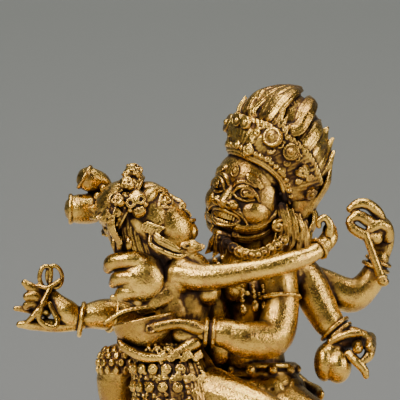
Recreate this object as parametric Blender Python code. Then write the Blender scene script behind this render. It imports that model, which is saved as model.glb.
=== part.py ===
"""A gilt bronze group of a six-armed wrathful deity and his consort on a low lotus plinth.

Metres, +Z up. The group is one casting, and the plinth is another. +X is the viewer's right,
+Y runs away from the viewer, and the origin is under the middle of the whole.
"""

import math

import bmesh
import bpy
from mathutils import Matrix, Vector

# Driving dimensions, in metres
FIGURE_HEIGHT = 0.145
PLINTH_HEIGHT = 0.017
PLINTH_MARGIN = 0.003
PLINTH_SQUARENESS = 3.0
SEAT_GAP = 0.0003
PETAL_COUNT = 26
PETAL_DEPTH = 0.0026
WAIST_DEPTH = 0.0032
FOOT_RING_HEIGHT = 0.0026
TOP_BAND = 0.0026

# The figures are laid out on a grid of 420 steps to the height, x to the right, y away, z up
GRID_STEPS = 420
STEP = FIGURE_HEIGHT / GRID_STEPS
VOXEL = 2.0 * STEP
FIGURE_TRIANGLES = 7900

# Gilding, as red, green, blue, and how rough it is
GILDING = (0.72, 0.47, 0.16)
GILDING_ROUGHNESS = 0.36
PLINTH_GILDING = (0.66, 0.42, 0.14)

# The way that each body and head faces, and its upright
HIS_BODY = ((-0.82, -0.57, 0.0), (0.0, 0.0, 1.0))
HIS_HEAD = ((-0.76, -0.63, 0.16), (0.32, 0.0, 0.95))
HER_BODY = ((1.0, 0.0, 0.0), (0.0, 0.0, 1.0))
HER_HEAD = ((0.72, 0.06, 0.69), (-0.69, 0.0, 0.73))
HIS_HEAD_CENTRE = (21, 0, 303)
HER_HEAD_CENTRE = (-87, -45, 281)

# Lines on his head, as forward, left and up of its centre: the crown's lower band and its rim
# from the brow to the side, and the long leaves of hair behind them
BAND_LINE = ((28, 0, 50), (25, 16, 48), (16, 27, 42), (2, 36, 30), (-8, 38, 12))
RIM_LINE = ((29, 0, 75), (22, 24, 75), (10, 38, 68), (-1, 44, 62), (-13, 48, 52),
            (-32, 43, 37), (-48, 33, 24))
SIDE_LEAVES = (
    ((0, 44, 56), (-8, 43, 70), (-22, 35, 84), (-36, 20, 89)),
    ((-13, 46, 46), (-23, 43, 62), (-38, 30, 74), (-43, 26, 84)),
    ((-27, 42, 35), (-35, 40, 50), (-46, 31, 63), (-49, 31, 75)),
    ((-43, 31, 20), (-47, 33, 36), (-50, 35, 50), (-51, 35, 63)),
    ((-45, 32, 5), (-50, 35, 20), (-52, 37, 33), (-51, 36, 48)),
)

# Where the feet stand, as heel and toe on the grid
HIS_RIGHT_FOOT = ((-104, 22, 8), (-150, 12, 5))
HIS_LEFT_FOOT = ((178, -62, 8), (172, -110, 5))
HER_RIGHT_FOOT = ((112, -92, 9), (128, -120, 4))
FOOT_WIDTH = 13


def axes(forward, up):
    """A turned frame with forward, left and up as its columns."""
    forward = Vector(forward).normalized()
    up = Vector(up)
    up = (up - up.dot(forward) * forward).normalized()
    return Matrix((forward, up.cross(forward), up)).transposed()


def placer(centre, facing):
    """A function that gives the grid point at so far forward, left and up of a centre."""
    turn = axes(*facing)
    start = Vector(centre)

    def place(forward, left, up):
        return start + turn @ Vector((forward, left, up))

    return place


def ball(form, centre, radii, facing=((1, 0, 0), (0, 0, 1)), sides=14, rings=9):
    """An egg with its own half-lengths forward, left and up."""
    place = placer(centre, facing)
    loops = []
    for r in range(1, rings):
        polar = math.pi * r / rings
        loop = []
        for k in range(sides):
            way = 2 * math.pi * k / sides
            loop.append(form.verts.new(place(
                radii[0] * math.sin(polar) * math.cos(way),
                radii[1] * math.sin(polar) * math.sin(way),
                radii[2] * math.cos(polar),
            )))
        loops.append(loop)
    top = form.verts.new(place(0, 0, radii[2]))
    bottom = form.verts.new(place(0, 0, -radii[2]))
    for k in range(sides):
        n = (k + 1) % sides
        for a, b in zip(loops, loops[1:]):
            form.faces.new((a[k], b[k], b[n], a[n]))
        form.faces.new((loops[0][k], loops[0][n], top))
        form.faces.new((loops[-1][n], loops[-1][k], bottom))


def smooth_route(points, radii, spans):
    """Points and radii read from a smooth curve through the given ones."""
    points = [Vector(p) for p in points]
    ends = [2 * points[0] - points[1]] + points + [2 * points[-1] - points[-2]]
    route = []
    for i in range(len(points) - 1):
        a, b, c, d = ends[i:i + 4]
        for k in range(spans):
            t = k / spans
            spot = 0.5 * (
                2 * b + (c - a) * t
                + (2 * a - 5 * b + 4 * c - d) * t ** 2
                + (3 * b - a - 3 * c + d) * t ** 3
            )
            ease = t * t * (3 - 2 * t)
            route.append((spot, radii[i] * (1 - ease) + radii[i + 1] * ease))
    route.append((points[-1], radii[-1]))
    return route


def limb(form, points, radii, flat=1.0, wide_way=(0, 0, 1), sides=12, spans=4):
    """A round limb along a smooth route, with domed ends; flat thins it across wide_way."""
    route = smooth_route(points, radii, spans)
    first = (route[1][0] - route[0][0]).normalized()
    last = (route[-1][0] - route[-2][0]).normalized()
    start, start_radius = route[0]
    end, end_radius = route[-1]
    dome = 0.7
    route.insert(0, (start - first * start_radius * dome, start_radius * dome))
    route.append((end + last * end_radius * dome, end_radius * dome))
    side = Vector(wide_way)
    loops = []
    for i, (spot, radius) in enumerate(route):
        ahead = route[min(i + 1, len(route) - 1)][0] - route[max(i - 1, 0)][0]
        ahead.normalize()
        wide = side - side.dot(ahead) * ahead
        if wide.length < 0.05:
            wide = ahead.orthogonal()
        wide.normalize()
        side = wide
        thin = ahead.cross(wide)
        loop = []
        for k in range(sides):
            angle = 2 * math.pi * k / sides
            offset = wide * math.cos(angle) + thin * math.sin(angle) * flat
            loop.append(form.verts.new(spot + offset * radius))
        loops.append(loop)
    for a, b in zip(loops, loops[1:]):
        for k in range(sides):
            n = (k + 1) % sides
            form.faces.new((a[k], a[n], b[n], b[k]))
    tip = form.verts.new(route[0][0] - first * start_radius * (1 - dome))
    tail = form.verts.new(route[-1][0] + last * end_radius * (1 - dome))
    for k in range(sides):
        n = (k + 1) % sides
        form.faces.new((loops[0][n], loops[0][k], tip))
        form.faces.new((loops[-1][k], loops[-1][n], tail))


def ring(form, centre, facing, reach, thick, sides=22, tube=8):
    """A round bar bent about a frame's upright; reach is its half-lengths forward and left."""
    place = placer(centre, facing)
    points = []
    for k in range(sides + 1):
        angle = 2 * math.pi * k / sides
        points.append(place(reach[0] * math.cos(angle), reach[1] * math.sin(angle), 0))
    limb(form, points, [thick] * len(points), wide_way=axes(*facing).col[2],
         sides=tube, spans=1)


def bangle(form, before, after, share, radius, thick):
    """A ring around a limb, at a share of the way between two points of it."""
    before = Vector(before)
    after = Vector(after)
    along = (after - before).normalized()
    spot = before.lerp(after, share)
    ring(form, spot, (along.orthogonal(), along), (radius, radius), thick, sides=16)


def foot(form, heel, toe, width):
    """A foot from heel to toes, thicker at the instep, with five toes."""
    heel = Vector(heel)
    toe = Vector(toe)
    along = (toe - heel).normalized()
    across = along.cross(Vector((0, 0, 1)))
    length = (toe - heel).length
    middle = heel.lerp(toe, 0.45) + Vector((0, 0, width * 0.15))
    limb(form, [heel, middle, toe - along * length * 0.22],
         [width * 0.8, width * 0.85, width * 0.72], flat=1.15)
    for k in range(5):
        shift = (k - 2) * width * 0.42
        reach = length * (0.16 - 0.03 * abs(k - 1))
        root = toe - along * length * 0.25 + across * shift
        limb(form, [root, root + along * (reach + length * 0.12)],
             [width * 0.26, width * 0.22], sides=8)


def skull(form, centre, facing, size):
    """A small skull: crown, cheeks and jaw."""
    place = placer(centre, facing)
    ball(form, place(0, 0, size * 0.2), (size * 0.9, size * 0.8, size * 0.85), facing)
    ball(form, place(size * 0.25, 0, -size * 0.7), (size * 0.55, size * 0.5, size * 0.5),
         facing)


def lock(form, points, thick, tip=0.2):
    """A lock of hair that swells and then tapers to its tip."""
    count = len(points)
    radii = []
    for k in range(count):
        t = k / (count - 1)
        radii.append(thick * (0.75 + 0.5 * t - (1.25 - tip) * t ** 2))
    limb(form, points, radii, sides=8, spans=3)


# The deity's body and legs
def his_body(form):
    ball(form, (28, 4, 104), (40, 44, 37), HIS_BODY)
    limb(form, [(24, 4, 102), (20, 4, 142), (15, 4, 196), (14, 3, 226), (16, 0, 256)],
         [34, 28, 33, 26, 18])
    ball(form, (7, -6, 152), (25, 27, 27), HIS_BODY)
    ball(form, (14, 4, 212), (29, 46, 32), HIS_BODY)
    ball(form, (-4, -26, 212), (14, 19, 15), HIS_BODY)
    ball(form, (-20, -4, 212), (14, 19, 15), HIS_BODY)
    limb(form, [(-12, -10, 270), (-4, -6, 250), (2, -2, 236)], [20, 19, 20])
    limb(form, [(-30, -26, 215), (-22, -20, 185), (-18, -14, 150)], [15, 16, 16])
    ball(form, (32, 0, 259), (17, 16, 17))
    ring(form, (24, 4, 126), HIS_BODY, (34, 36), 5)


def his_legs(form):
    limb(form, [(8, 20, 100), (-50, 22, 119), (-114, 10, 130), (-117, 14, 82),
                (-113, 20, 42), (-110, 20, 16)], [28, 28, 23, 18, 13, 11])
    ball(form, (-117, 8, 134), (23, 21, 22))
    ring(form, (-116, 12, 112), ((1, 0, 0), (-0.05, 0.1, 1)), (20, 20), 3.5)
    foot(form, *HIS_RIGHT_FOOT, FOOT_WIDTH)
    bangle(form, (-113, 20, 42), (-110, 20, 16), 0.7, 12, 3)
    limb(form, [(38, -8, 96), (70, -26, 76), (106, -42, 60), (142, -54, 38),
                (171, -61, 13)], [31, 28, 21, 16, 11])
    foot(form, *HIS_LEFT_FOOT, FOOT_WIDTH)
    bangle(form, (142, -54, 38), (171, -61, 13), 0.75, 12.5, 3)


# The deity's three left arms, on the near side
def his_left_arms(form):
    ball(form, (41, -31, 229), (20, 21, 21))
    limb(form, [(40, -31, 230), (43, -40, 192), (35, -53, 163), (8, -66, 161),
                (-12, -69, 167), (-34, -69, 169)], [20, 19, 20, 19, 15, 11])
    bangle(form, (-12, -69, 167), (-34, -69, 169), 0.52, 13.5, 3)
    bangle(form, (-12, -69, 167), (-34, -69, 169), 0.86, 13, 3)
    bangle(form, (40, -31, 230), (43, -40, 192), 0.75, 19.5, 3)
    cup_hand(form)
    limb(form, [(45, -18, 226), (66, -12, 226), (80, -14, 199), (91, -18, 179),
                (104, -21, 164)], [20, 18, 18, 16, 12])
    bangle(form, (91, -18, 179), (104, -21, 164), 0.8, 14, 3)
    fruit_fist(form)
    limb(form, [(45, 0, 226), (82, 4, 219), (113, 8, 204), (133, 8, 217),
                (144, 6, 242)], [17, 14, 18, 14, 10])
    bangle(form, (133, 8, 217), (144, 6, 242), 0.8, 11.5, 3)
    staff_hand(form)


def bowl(form, centre, radii, wall, facing, sides=18, steps=6):
    """A thin round bowl, hollow above; radii are its half-lengths forward, left and down."""
    place = placer(centre, facing)
    loops = []
    profile = [(k, 0.0) for k in range(1, steps + 1)]
    profile += [(k, wall) for k in range(steps, 0, -1)]
    for k, inset in profile:
        angle = 0.5 * math.pi * k / steps
        drop = math.cos(angle)
        loop = []
        for n in range(sides):
            way = 2 * math.pi * n / sides
            loop.append(form.verts.new(place(
                (radii[0] - inset) * math.sin(angle) * math.cos(way),
                (radii[1] - inset) * math.sin(angle) * math.sin(way),
                -(radii[2] - inset) * drop,
            )))
        loops.append(loop)
    for a, b in zip(loops, loops[1:]):
        for k in range(sides):
            n = (k + 1) % sides
            form.faces.new((a[k], a[n], b[n], b[k]))
    form.faces.new(loops[0][::-1])
    form.faces.new(loops[-1])


def skull_cup(form):
    bowl(form, (-93, -62, 181), (32, 24, 31), 5.5, ((1, 0, 0.22), (-0.22, 0, 1)))


def cup_hand(form):
    ball(form, (-46, -69, 167), (19, 9, 14))
    for k in range(4):
        low = 144 + 2.2 * k
        near = -78 + 9 * k
        limb(form, [(-42, near * 0.5 - 34, 158), (-68, near, low + 1), (-92, near, low),
                    (-112, near + 2, low + 9), (-117, near + 4, low + 14)],
             [7, 5.6, 5.2, 4.4, 3.4], sides=8)
    limb(form, [(-38, -77, 172), (-58, -82, 177), (-78, -86, 174), (-86, -86, 172)],
         [7, 5.5, 5.5, 4.6], sides=8)


def fruit_fist(form):
    ball(form, (88, -26, 137), (11, 16, 19))
    ball(form, (101, -28, 134), (14, 16, 18))
    ball(form, (95, -24, 148), (14, 14, 11))
    limb(form, [(103, -22, 160), (115, -22, 162), (126, -24, 160)], [12, 11.5, 10])
    for tip in ((121, -42, 151), (133, -40, 153)):
        root = Vector(tip) + Vector((0, 22, 8))
        limb(form, [root, root.lerp(Vector(tip), 0.5), tip], [7, 6.5, 5.6], sides=8)
    limb(form, [(112, -36, 146), (120, -40, 138), (127, -40, 130), (129, -40, 125)],
         [5.5, 5.5, 5, 4], sides=8)
    limb(form, [(134, -30, 156), (132, -36, 145), (125, -40, 138)], [6, 5.5, 4.5], sides=8)


def staff_hand(form):
    limb(form, [(144, 6, 244), (148, 6, 258), (147, 4, 270), (141, 2, 280)],
         [10, 10.5, 11, 9], flat=0.7, wide_way=(1, 0, 0.2))
    for route, radii in (
        ([(146, 0, 275), (141, -6, 287), (132, -10, 295), (122, -12, 296), (114, -12, 291)],
         [7, 6.5, 6, 5.5, 4.6]),
        ([(144, -6, 270), (134, -12, 277), (122, -15, 284), (114, -16, 280)],
         [7, 6.5, 6, 5]),
        ([(140, -8, 262), (128, -14, 265), (117, -17, 271), (113, -17, 277)],
         [7, 6, 5.5, 4.6]),
        ([(152, -2, 263), (151, -8, 272), (142, -12, 275), (134, -15, 271)],
         [6.5, 6, 5.5, 5]),
        ([(129, -16, 266), (137, -17, 244), (146, -16, 219)], [4.6, 4.6, 5.6]),
    ):
        limb(form, route, radii, sides=8)


# The deity's three right arms, which reach around her on the far side
def his_right_arms(form):
    ball(form, (-9, 37, 226), (19, 20, 20))
    limb(form, [(-8, 36, 226), (-46, 36, 206), (-84, 14, 200), (-102, -18, 212),
                (-108, -40, 220)], [18, 15, 14, 11, 10])
    chopper_fist(form)
    limb(form, [(-8, 40, 228), (-48, 46, 224), (-84, 40, 232), (-112, 22, 254),
                (-128, 8, 278)], [16, 14, 14, 11, 9])
    bangle(form, (-112, 22, 254), (-128, 8, 278), 0.78, 11, 3)
    drum_hand(form)
    limb(form, [(-8, 34, 224), (-50, 36, 196), (-92, 24, 178), (-130, 8, 184),
                (-162, -2, 181)], [16, 15, 17, 16, 11])
    ring(form, (-156, -2, 180), ((0.15, 0, 1), (1, 0, 0.1)), (16, 13), 3)
    bangle(form, (-92, 24, 178), (-130, 8, 184), 0.92, 16.5, 2.5)
    noose_hand(form)


def chopper_fist(form):
    ball(form, (-108, -46, 222), (18, 14, 18))
    for k in range(4):
        high = 238 - 10.5 * k
        reach = (-126, -128, -129, -125)[k]
        limb(form, [(-94, -54, high - 1), (-110, -66, high), (reach + 3, -60, high + 1),
                    (reach, -48, high)], [6, 5.8, 5.6, 4.8], sides=8)
    ball(form, (-110, -54, 248), (10, 9, 6))
    ball(form, (-110, -54, 259), (12, 11, 9))
    limb(form, [(-110, -54, 262), (-110, -54, 271)], [7, 4], sides=8)
    limb(form, [(-131, -64, 178), (-112, -66, 189), (-90, -66, 193)], [3, 3.6, 3], sides=8)
    limb(form, [(-94, -62, 192), (-84, -64, 198), (-70, -64, 206), (-56, -60, 215)],
         [7, 10, 9, 4], flat=0.5, wide_way=(-0.5, 0, 1), sides=8)
    limb(form, [(-104, -60, 206), (-98, -62, 198)], [6, 7], sides=8)


def drum_hand(form):
    limb(form, [(-130, 0, 305), (-140, -4, 316), (-150, -8, 322)], [9, 11, 12])
    limb(form, [(-132, 0, 300), (-146, -4, 290), (-160, -8, 294)], [9, 14, 12])
    limb(form, [(-126, 8, 274), (-128, 4, 288), (-128, 0, 300)], [11, 12, 11], flat=0.8)
    for route in (
        [(-126, -4, 292), (-134, -14, 296), (-140, -18, 304)],
        [(-124, -4, 298), (-130, -14, 304), (-134, -18, 312)],
        [(-126, -4, 284), (-136, -14, 286), (-144, -20, 292)],
        [(-118, 0, 302), (-112, -8, 298), (-118, -12, 284), (-122, -12, 272)],
    ):
        limb(form, route, [5.5] * (len(route) - 1) + [4.4], sides=8)


def noose_hand(form):
    limb(form, [(-160, -2, 180), (-172, -6, 188), (-186, -6, 203)], [12, 13, 8], flat=0.9)
    limb(form, [(-158, -2, 178), (-176, -6, 174), (-196, -8, 174)], [9, 7, 6])
    for route, radii in (
        ([(-188, -6, 202), (-203, -12, 210), (-213, -15, 217)], [6, 5.5, 4.4]),
        ([(-190, -8, 196), (-203, -14, 203), (-210, -16, 203)], [6, 6, 5]),
        ([(-192, -8, 188), (-205, -12, 196), (-211, -12, 194)], [6, 5, 4.5]),
        ([(-192, -2, 186), (-210, -6, 190), (-223, -8, 191)], [5.5, 4.4, 3.6]),
        ([(-186, -8, 174), (-205, -12, 175), (-218, -14, 175)], [7, 6, 4]),
    ):
        limb(form, route, radii, sides=8)
    ring(form, (-183, -10, 223), ((1, 0, 0.15), (0.2, -1, 0)), (8, 11), 3, sides=16)
    limb(form, [(-190, -10, 206), (-198, -12, 220), (-195, -12, 232), (-188, -11, 230),
                (-188, -12, 212)], [3] * 5, sides=8)
    limb(form, [(-188, -16, 210), (-195, -20, 196), (-198, -20, 180), (-186, -20, 172),
                (-181, -18, 180), (-188, -16, 196)], [3.2] * 6, sides=8)


# The deity's head, its features and its ears
def his_head(form):
    place = placer(HIS_HEAD_CENTRE, HIS_HEAD)
    ball(form, place(-4, 0, 8), (38, 35, 44), HIS_HEAD, sides=18, rings=12)
    ball(form, place(10, 0, -22), (25, 27, 23), HIS_HEAD)
    ball(form, place(28, 0, 24), (9, 20, 12), HIS_HEAD)
    for side in (-1, 1):
        ball(form, place(29, 16 * side, 2), (8, 11, 8), HIS_HEAD)
        limb(form, [place(37, 4 * side, 8), place(36, 15 * side, 17),
                    place(26, 29 * side, 12)], [5, 6, 4], sides=8)
        ball(form, place(26, 19 * side, -15), (11, 10, 9), HIS_HEAD)
        ball(form, place(38, 6 * side, -8), (7, 6, 5), HIS_HEAD)
        limb(form, [place(-2, 35 * side, 10), place(-6, 40 * side, -4),
                    place(-2, 38 * side, -22), place(-1, 36 * side, -40)],
             [6, 9, 7, 5], flat=0.6, sides=8)
        lock(form, [place(34, 5 * side, -14), place(34, 16 * side, -20),
                    place(30, 24 * side, -32), place(32, 28 * side, -38)], 4)
    limb(form, [place(34, 0, 10), place(42, 0, -4), place(42, 0, -9)], [4, 6, 6], sides=8)
    ring(form, place(31, 0, -23), (axes(*HIS_HEAD).col[1], axes(*HIS_HEAD).col[0]),
         (14, 9), 4, sides=18)
    ball(form, place(28, 0, -41), (9, 13, 7), HIS_HEAD)
    for k in range(5):
        side = (k - 2) * 7
        lock(form, [place(30, side, -44), place(30, side * 1.15, -52),
                    place(28, side * 1.2, -60)], 4)
    ball(form, place(35, 0, 23), (4, 4, 7), HIS_HEAD)


def both_sides(line):
    """A line of head points from the far side, over the front, to the near side."""
    return [(f, -l, u) for f, l, u in reversed(line[1:])] + list(line)


def his_crown(form):
    place = placer(HIS_HEAD_CENTRE, HIS_HEAD)
    turn = axes(*HIS_HEAD)
    low = [place(*p) for p in both_sides(BAND_LINE)]
    high = [place(*p) for p in both_sides(RIM_LINE)]
    limb(form, low, [4.5] * len(low), sides=8)
    limb(form, high, [5] * len(high), sides=8)
    low = smooth_route(low, [1] * len(low), 6)
    high = smooth_route(high, [1] * len(high), 4)
    heart = place(-14, 0, 40)
    for k in range(0, len(low), 3):
        bottom = low[k][0]
        top = high[k][0]
        middle = bottom.lerp(top, 0.5)
        out = (middle - heart).normalized()
        limb(form, [bottom, middle + out * 2, top], [7, 8, 5.5], sides=8)
        if k % 9 == 6:
            skull(form, middle + out * 6, (out, turn.col[2]), 8)


def his_hair(form):
    place = placer(HIS_HEAD_CENTRE, HIS_HEAD)
    ball(form, place(-16, 0, 48), (43, 45, 57), HIS_HEAD, sides=18, rings=12)
    ball(form, place(-6, 0, 77), (33, 39, 36), HIS_HEAD, sides=18, rings=12)
    for side in (-1, 1):
        ball(form, place(-36, 15 * side, 14), (24, 26, 44), HIS_HEAD)
        for leaf in SIDE_LEAVES:
            limb(form, [place(f, l * side, u) for f, l, u in leaf], [7, 8, 7, 3.5],
                 sides=8, spans=3)
        for k in range(3):
            limb(form, [place(-6 - 11 * k, 36 * side, -12 - 3 * k),
                        place(-14 - 11 * k, 40 * side, -26 - 2 * k),
                        place(-22 - 11 * k, 36 * side, -38 - 2 * k)], [6, 7, 3.5], sides=8)
    for row in range(4):
        for k in range(5):
            angle = math.radians(180 + 22 * (k - 2) + 11 * (row % 2))
            fan = math.cos(angle)
            side = math.sin(angle)
            rise = -34 + 26 * row
            narrow = 1 - 0.05 * row * row
            limb(form, [place(-16 + 40 * fan * narrow, 42 * side * narrow, rise),
                        place(-16 + 46 * fan * narrow, 48 * side * narrow, rise + 14),
                        place(-16 + 48 * fan * narrow, 50 * side * narrow, rise + 28),
                        place(-14 + 42 * fan * narrow, 44 * side * narrow, rise + 42)],
                 [7, 9, 8, 3.5], sides=8, spans=3)
    for k in range(7):
        side = (k - 3) * 11
        limb(form, [place(22, side * 0.9, 76 - abs(side) * 0.1),
                    place(19, side, 92 - abs(side) * 0.5),
                    place(5, side * 0.8, 107 - abs(side) * 0.5),
                    place(-14, side * 0.5, 112 - abs(side) * 0.5)], [6, 7, 7, 5], sides=8)
    for k in range(3):
        limb(form, [place(24, -22 - 6 * k, 68 - 2 * k), place(26, -30 - 4 * k, 80 - 4 * k),
                    place(22, -32 - 3 * k, 94 - 7 * k)], [5, 4.5, 3.5], sides=8)


# The consort's body, her arms and legs, and her bone apron
def her_body(form):
    limb(form, [(-50, -44, 118), (-58, -40, 160), (-49, -36, 206), (-46, -38, 226),
                (-58, -42, 244), (-74, -44, 262)], [32, 22, 26, 22, 15, 14])
    ball(form, (-48, -38, 220), (22, 33, 18), HER_BODY)
    ball(form, (-30, -50, 208), (14, 14, 14))
    ball(form, (-30, -22, 208), (14, 14, 14))
    ball(form, (-55, -62, 228), (16, 15, 15))
    limb(form, [(-56, -62, 228), (-25, -70, 225), (26, -70, 231), (52, -64, 238),
                (74, -52, 246), (88, -40, 256)], [15, 14, 11.5, 11.5, 9, 7.5])
    bangle(form, (74, -52, 246), (88, -40, 256), 0.6, 9.5, 2.8)
    limb(form, [(84, -42, 252), (92, -37, 262), (93, -32, 270)], [9, 9, 7.5], flat=0.75,
         wide_way=(1, 0, -0.3))
    for k in range(4):
        near = -42 + 5.5 * k
        limb(form, [(92, near, 266), (93, near - 1, 274), (88, near - 2, 281),
                    (81, near - 2, 278)], [5, 4.6, 4.2, 3.6], sides=8)
    ball(form, (-50, -10, 226), (16, 15, 15))
    limb(form, [(-50, -10, 226), (-24, 10, 228), (10, 46, 238), (42, 44, 244)],
         [14, 13, 11, 9])


def her_legs(form):
    limb(form, [(-30, -56, 108), (18, -76, 90), (58, -85, 71), (88, -89, 42),
                (109, -91, 14)], [27, 23, 17, 13, 9])
    foot(form, *HER_RIGHT_FOOT, FOOT_WIDTH * 0.75)
    bangle(form, (88, -89, 42), (109, -91, 14), 0.78, 11, 2.6)
    limb(form, [(-45, -16, 124), (-30, 34, 146), (10, 62, 142), (46, 52, 124),
                (66, 34, 112)], [22, 19, 15, 12, 9])
    limb(form, [(66, 34, 112), (80, 16, 106), (84, 2, 104)], [8, 8, 6], flat=0.7)


def her_apron(form):
    limb(form, [(-70, -42, 150), (-60, -46, 120), (-54, -50, 94)], [32, 39, 40])
    for k in range(14):
        angle = math.radians(95 + 15 * k)
        out_x = math.cos(angle)
        out_y = math.sin(angle)
        lock(form, [(-68 + 30 * out_x, -43 + 30 * out_y, 152),
                    (-60 + 39 * out_x, -47 + 38 * out_y, 122),
                    (-56 + 41 * out_x, -50 + 40 * out_y, 96),
                    (-54 + 36 * out_x, -50 + 35 * out_y, 64 + 7 * (k % 2))], 7.5, tip=0.6)
    for fall, reach in ((148, 31), (126, 40), (104, 43)):
        shift = (fall - 148) * 0.22
        ring(form, (-68 - shift, -43 + shift * 0.4, fall), HER_BODY, (reach, reach - 1), 4)


def her_head(form):
    place = placer(HER_HEAD_CENTRE, HER_HEAD)
    ball(form, place(-1, 0, 2), (31, 27, 36), HER_HEAD, sides=18, rings=12)
    ball(form, place(12, 0, -22), (20, 20, 22), HER_HEAD)
    limb(form, [place(28, 0, 8), place(33, 0, -8), place(33, 0, -12)], [5, 6, 6], sides=8)
    ball(form, place(30, 0, -20), (8, 12, 5), HER_HEAD)
    ball(form, place(28, 0, -31), (8, 12, 5), HER_HEAD)
    ball(form, place(24, 0, -40), (9, 11, 7), HER_HEAD)
    for side in (-1, 1):
        ball(form, place(27, 12 * side, 4), (7, 8, 6), HER_HEAD)
        limb(form, [place(33, 3 * side, 12), place(31, 12 * side, 16),
                    place(22, 22 * side, 12)], [5, 5, 4], sides=8)
        ball(form, place(22, 16 * side, -14), (9, 8, 8), HER_HEAD)
        limb(form, [place(-6, 27 * side, -6), place(-5, 31 * side, -18),
                    place(-1, 31 * side, -34), place(5, 29 * side, -46)],
             [6, 9, 8, 6], flat=0.55, sides=8)
        limb(form, [place(8, 26 * side, -46), place(14, 27 * side, -55),
                    place(22, 26 * side, -62)], [5, 9, 4], flat=0.6, sides=8)
    turn = axes(*HER_HEAD)
    band = (turn @ Vector((1, 0, 0.35)), turn @ Vector((-0.35, 0, 1)))
    ring(form, place(-8, 0, 27), band, (32, 28), 4.5)
    for k in range(-3, 4):
        angle = math.radians(36 * k)
        forward = math.cos(angle)
        left = math.sin(angle)
        sink = 10 * (1 - forward)
        out = (turn @ Vector((forward, left, 0.3)), turn.col[2])
        skull(form, place(-12 + 34 * forward, 31 * left, 46 - sink), out, 9)
    ball(form, place(-12, 0, 32), (27, 25, 22), HER_HEAD)


def her_hair(form):
    place = placer(HER_HEAD_CENTRE, HER_HEAD)
    for k in range(9):
        side = (k - 4) * 6
        lock(form, [place(-8, side, 40), place(-26, side * 1.1, 34),
                    place(-38, side, 8) + Vector((-6, 0, -4)),
                    Vector((-112 + abs(side) * 0.3, -45 + side, 238)),
                    Vector((-98, -44 + side * 0.9, 214))], 7, tip=0.6)
    limb(form, [(-100, -46, 262), (-92, -44, 235), (-80, -42, 210)], [22, 20, 16])


# Jewellery that hangs on his chest
def his_jewels(form):
    for k in range(9):
        share = k / 8
        x = -16 + 62 * share
        y = -26 - 14 * math.sin(math.pi * share) - 2 * share
        z = 262 - 14 * math.sin(math.pi * share) - 2 * share
        ball(form, (x, y, z), (6, 6, 6), sides=8, rings=6)


def tidy_shell(mesh):
    """Keeps the one outer shell of a mesh, without loose crumbs or closed bubbles."""
    form = bmesh.new()
    form.from_mesh(mesh)
    form.verts.ensure_lookup_table()
    unseen = set(form.verts)
    shells = []
    while unseen:
        shell = set()
        queue = [unseen.pop()]
        while queue:
            vert = queue.pop()
            shell.add(vert)
            for edge in vert.link_edges:
                other = edge.other_vert(vert)
                if other in unseen:
                    unseen.remove(other)
                    queue.append(other)
        shells.append(shell)
    shells.sort(key=len)
    spare = [vert for shell in shells[:-1] for vert in shell]
    bmesh.ops.delete(form, geom=spare, context="VERTS")
    form.to_mesh(mesh)
    form.free()


def evaluated_mesh(thing):
    """The mesh that an object's modifiers give."""
    depsgraph = bpy.context.evaluated_depsgraph_get()
    return bpy.data.meshes.new_from_object(thing.evaluated_get(depsgraph))


def gilding(name, colour):
    material = bpy.data.materials.new(name)
    material.use_nodes = True
    shader = material.node_tree.nodes["Principled BSDF"]
    shader.inputs["Base Color"].default_value = (*colour, 1.0)
    shader.inputs["Metallic"].default_value = 1.0
    shader.inputs["Roughness"].default_value = GILDING_ROUGHNESS
    return material


def add_object(name, mesh, material):
    thing = bpy.data.objects.new(name, mesh)
    bpy.context.collection.objects.link(thing)
    mesh.materials.clear()
    mesh.materials.append(material)
    return thing


def sole_cutter():
    """A slab whose top face is the level that the soles end at."""
    form = bmesh.new()
    reach = 4 * FIGURE_HEIGHT
    bmesh.ops.create_cube(form, size=reach)
    bmesh.ops.translate(form, vec=(0, 0, -reach / 2), verts=form.verts)
    mesh = bpy.data.meshes.new("sole_cutter")
    form.to_mesh(mesh)
    form.free()
    return add_object("sole_cutter", mesh, gilding("sole_cutter", GILDING))


def make_figures():
    """The cast group: every form run together into one skin, with flat soles."""
    form = bmesh.new()
    for build in (his_body, his_legs, his_left_arms, his_right_arms, his_head, his_crown,
                  his_hair, his_jewels, skull_cup, her_body, her_legs, her_apron, her_head,
                  her_hair):
        build(form)
    bmesh.ops.scale(form, vec=(STEP, STEP, STEP), verts=form.verts)
    mesh = bpy.data.meshes.new("rough_figures")
    form.to_mesh(mesh)
    form.free()
    rough = bpy.data.objects.new("rough_figures", mesh)
    bpy.context.collection.objects.link(rough)
    skin = rough.modifiers.new("one skin", "REMESH")
    skin.mode = "VOXEL"
    skin.voxel_size = VOXEL
    soften = rough.modifiers.new("soften", "SMOOTH")
    soften.factor = 0.5
    soften.iterations = 2
    rough.data = evaluated_mesh(rough)
    rough.modifiers.clear()
    tidy_shell(rough.data)
    fewer = rough.modifiers.new("fewer faces", "DECIMATE")
    fewer.ratio = FIGURE_TRIANGLES / (2.0 * len(rough.data.polygons))
    flat = rough.modifiers.new("flat soles", "BOOLEAN")
    flat.operation = "DIFFERENCE"
    flat.object = sole_cutter()
    figures = evaluated_mesh(rough)
    bpy.data.objects.remove(flat.object)
    bpy.data.objects.remove(rough)
    figures.transform(Matrix.Translation((0, 0, PLINTH_HEIGHT + SEAT_GAP)))
    return add_object("mahakala_and_consort", figures, gilding("gilt_bronze", GILDING))


def stance():
    """The lowest and highest x and y that the feet reach, in metres."""
    points = [p for foot_line in (HIS_RIGHT_FOOT, HIS_LEFT_FOOT, HER_RIGHT_FOOT)
              for p in foot_line]
    low = [(min(p[i] for p in points) - FOOT_WIDTH) * STEP for i in (0, 1)]
    high = [(max(p[i] for p in points) + FOOT_WIDTH) * STEP for i in (0, 1)]
    return low, high


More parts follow.
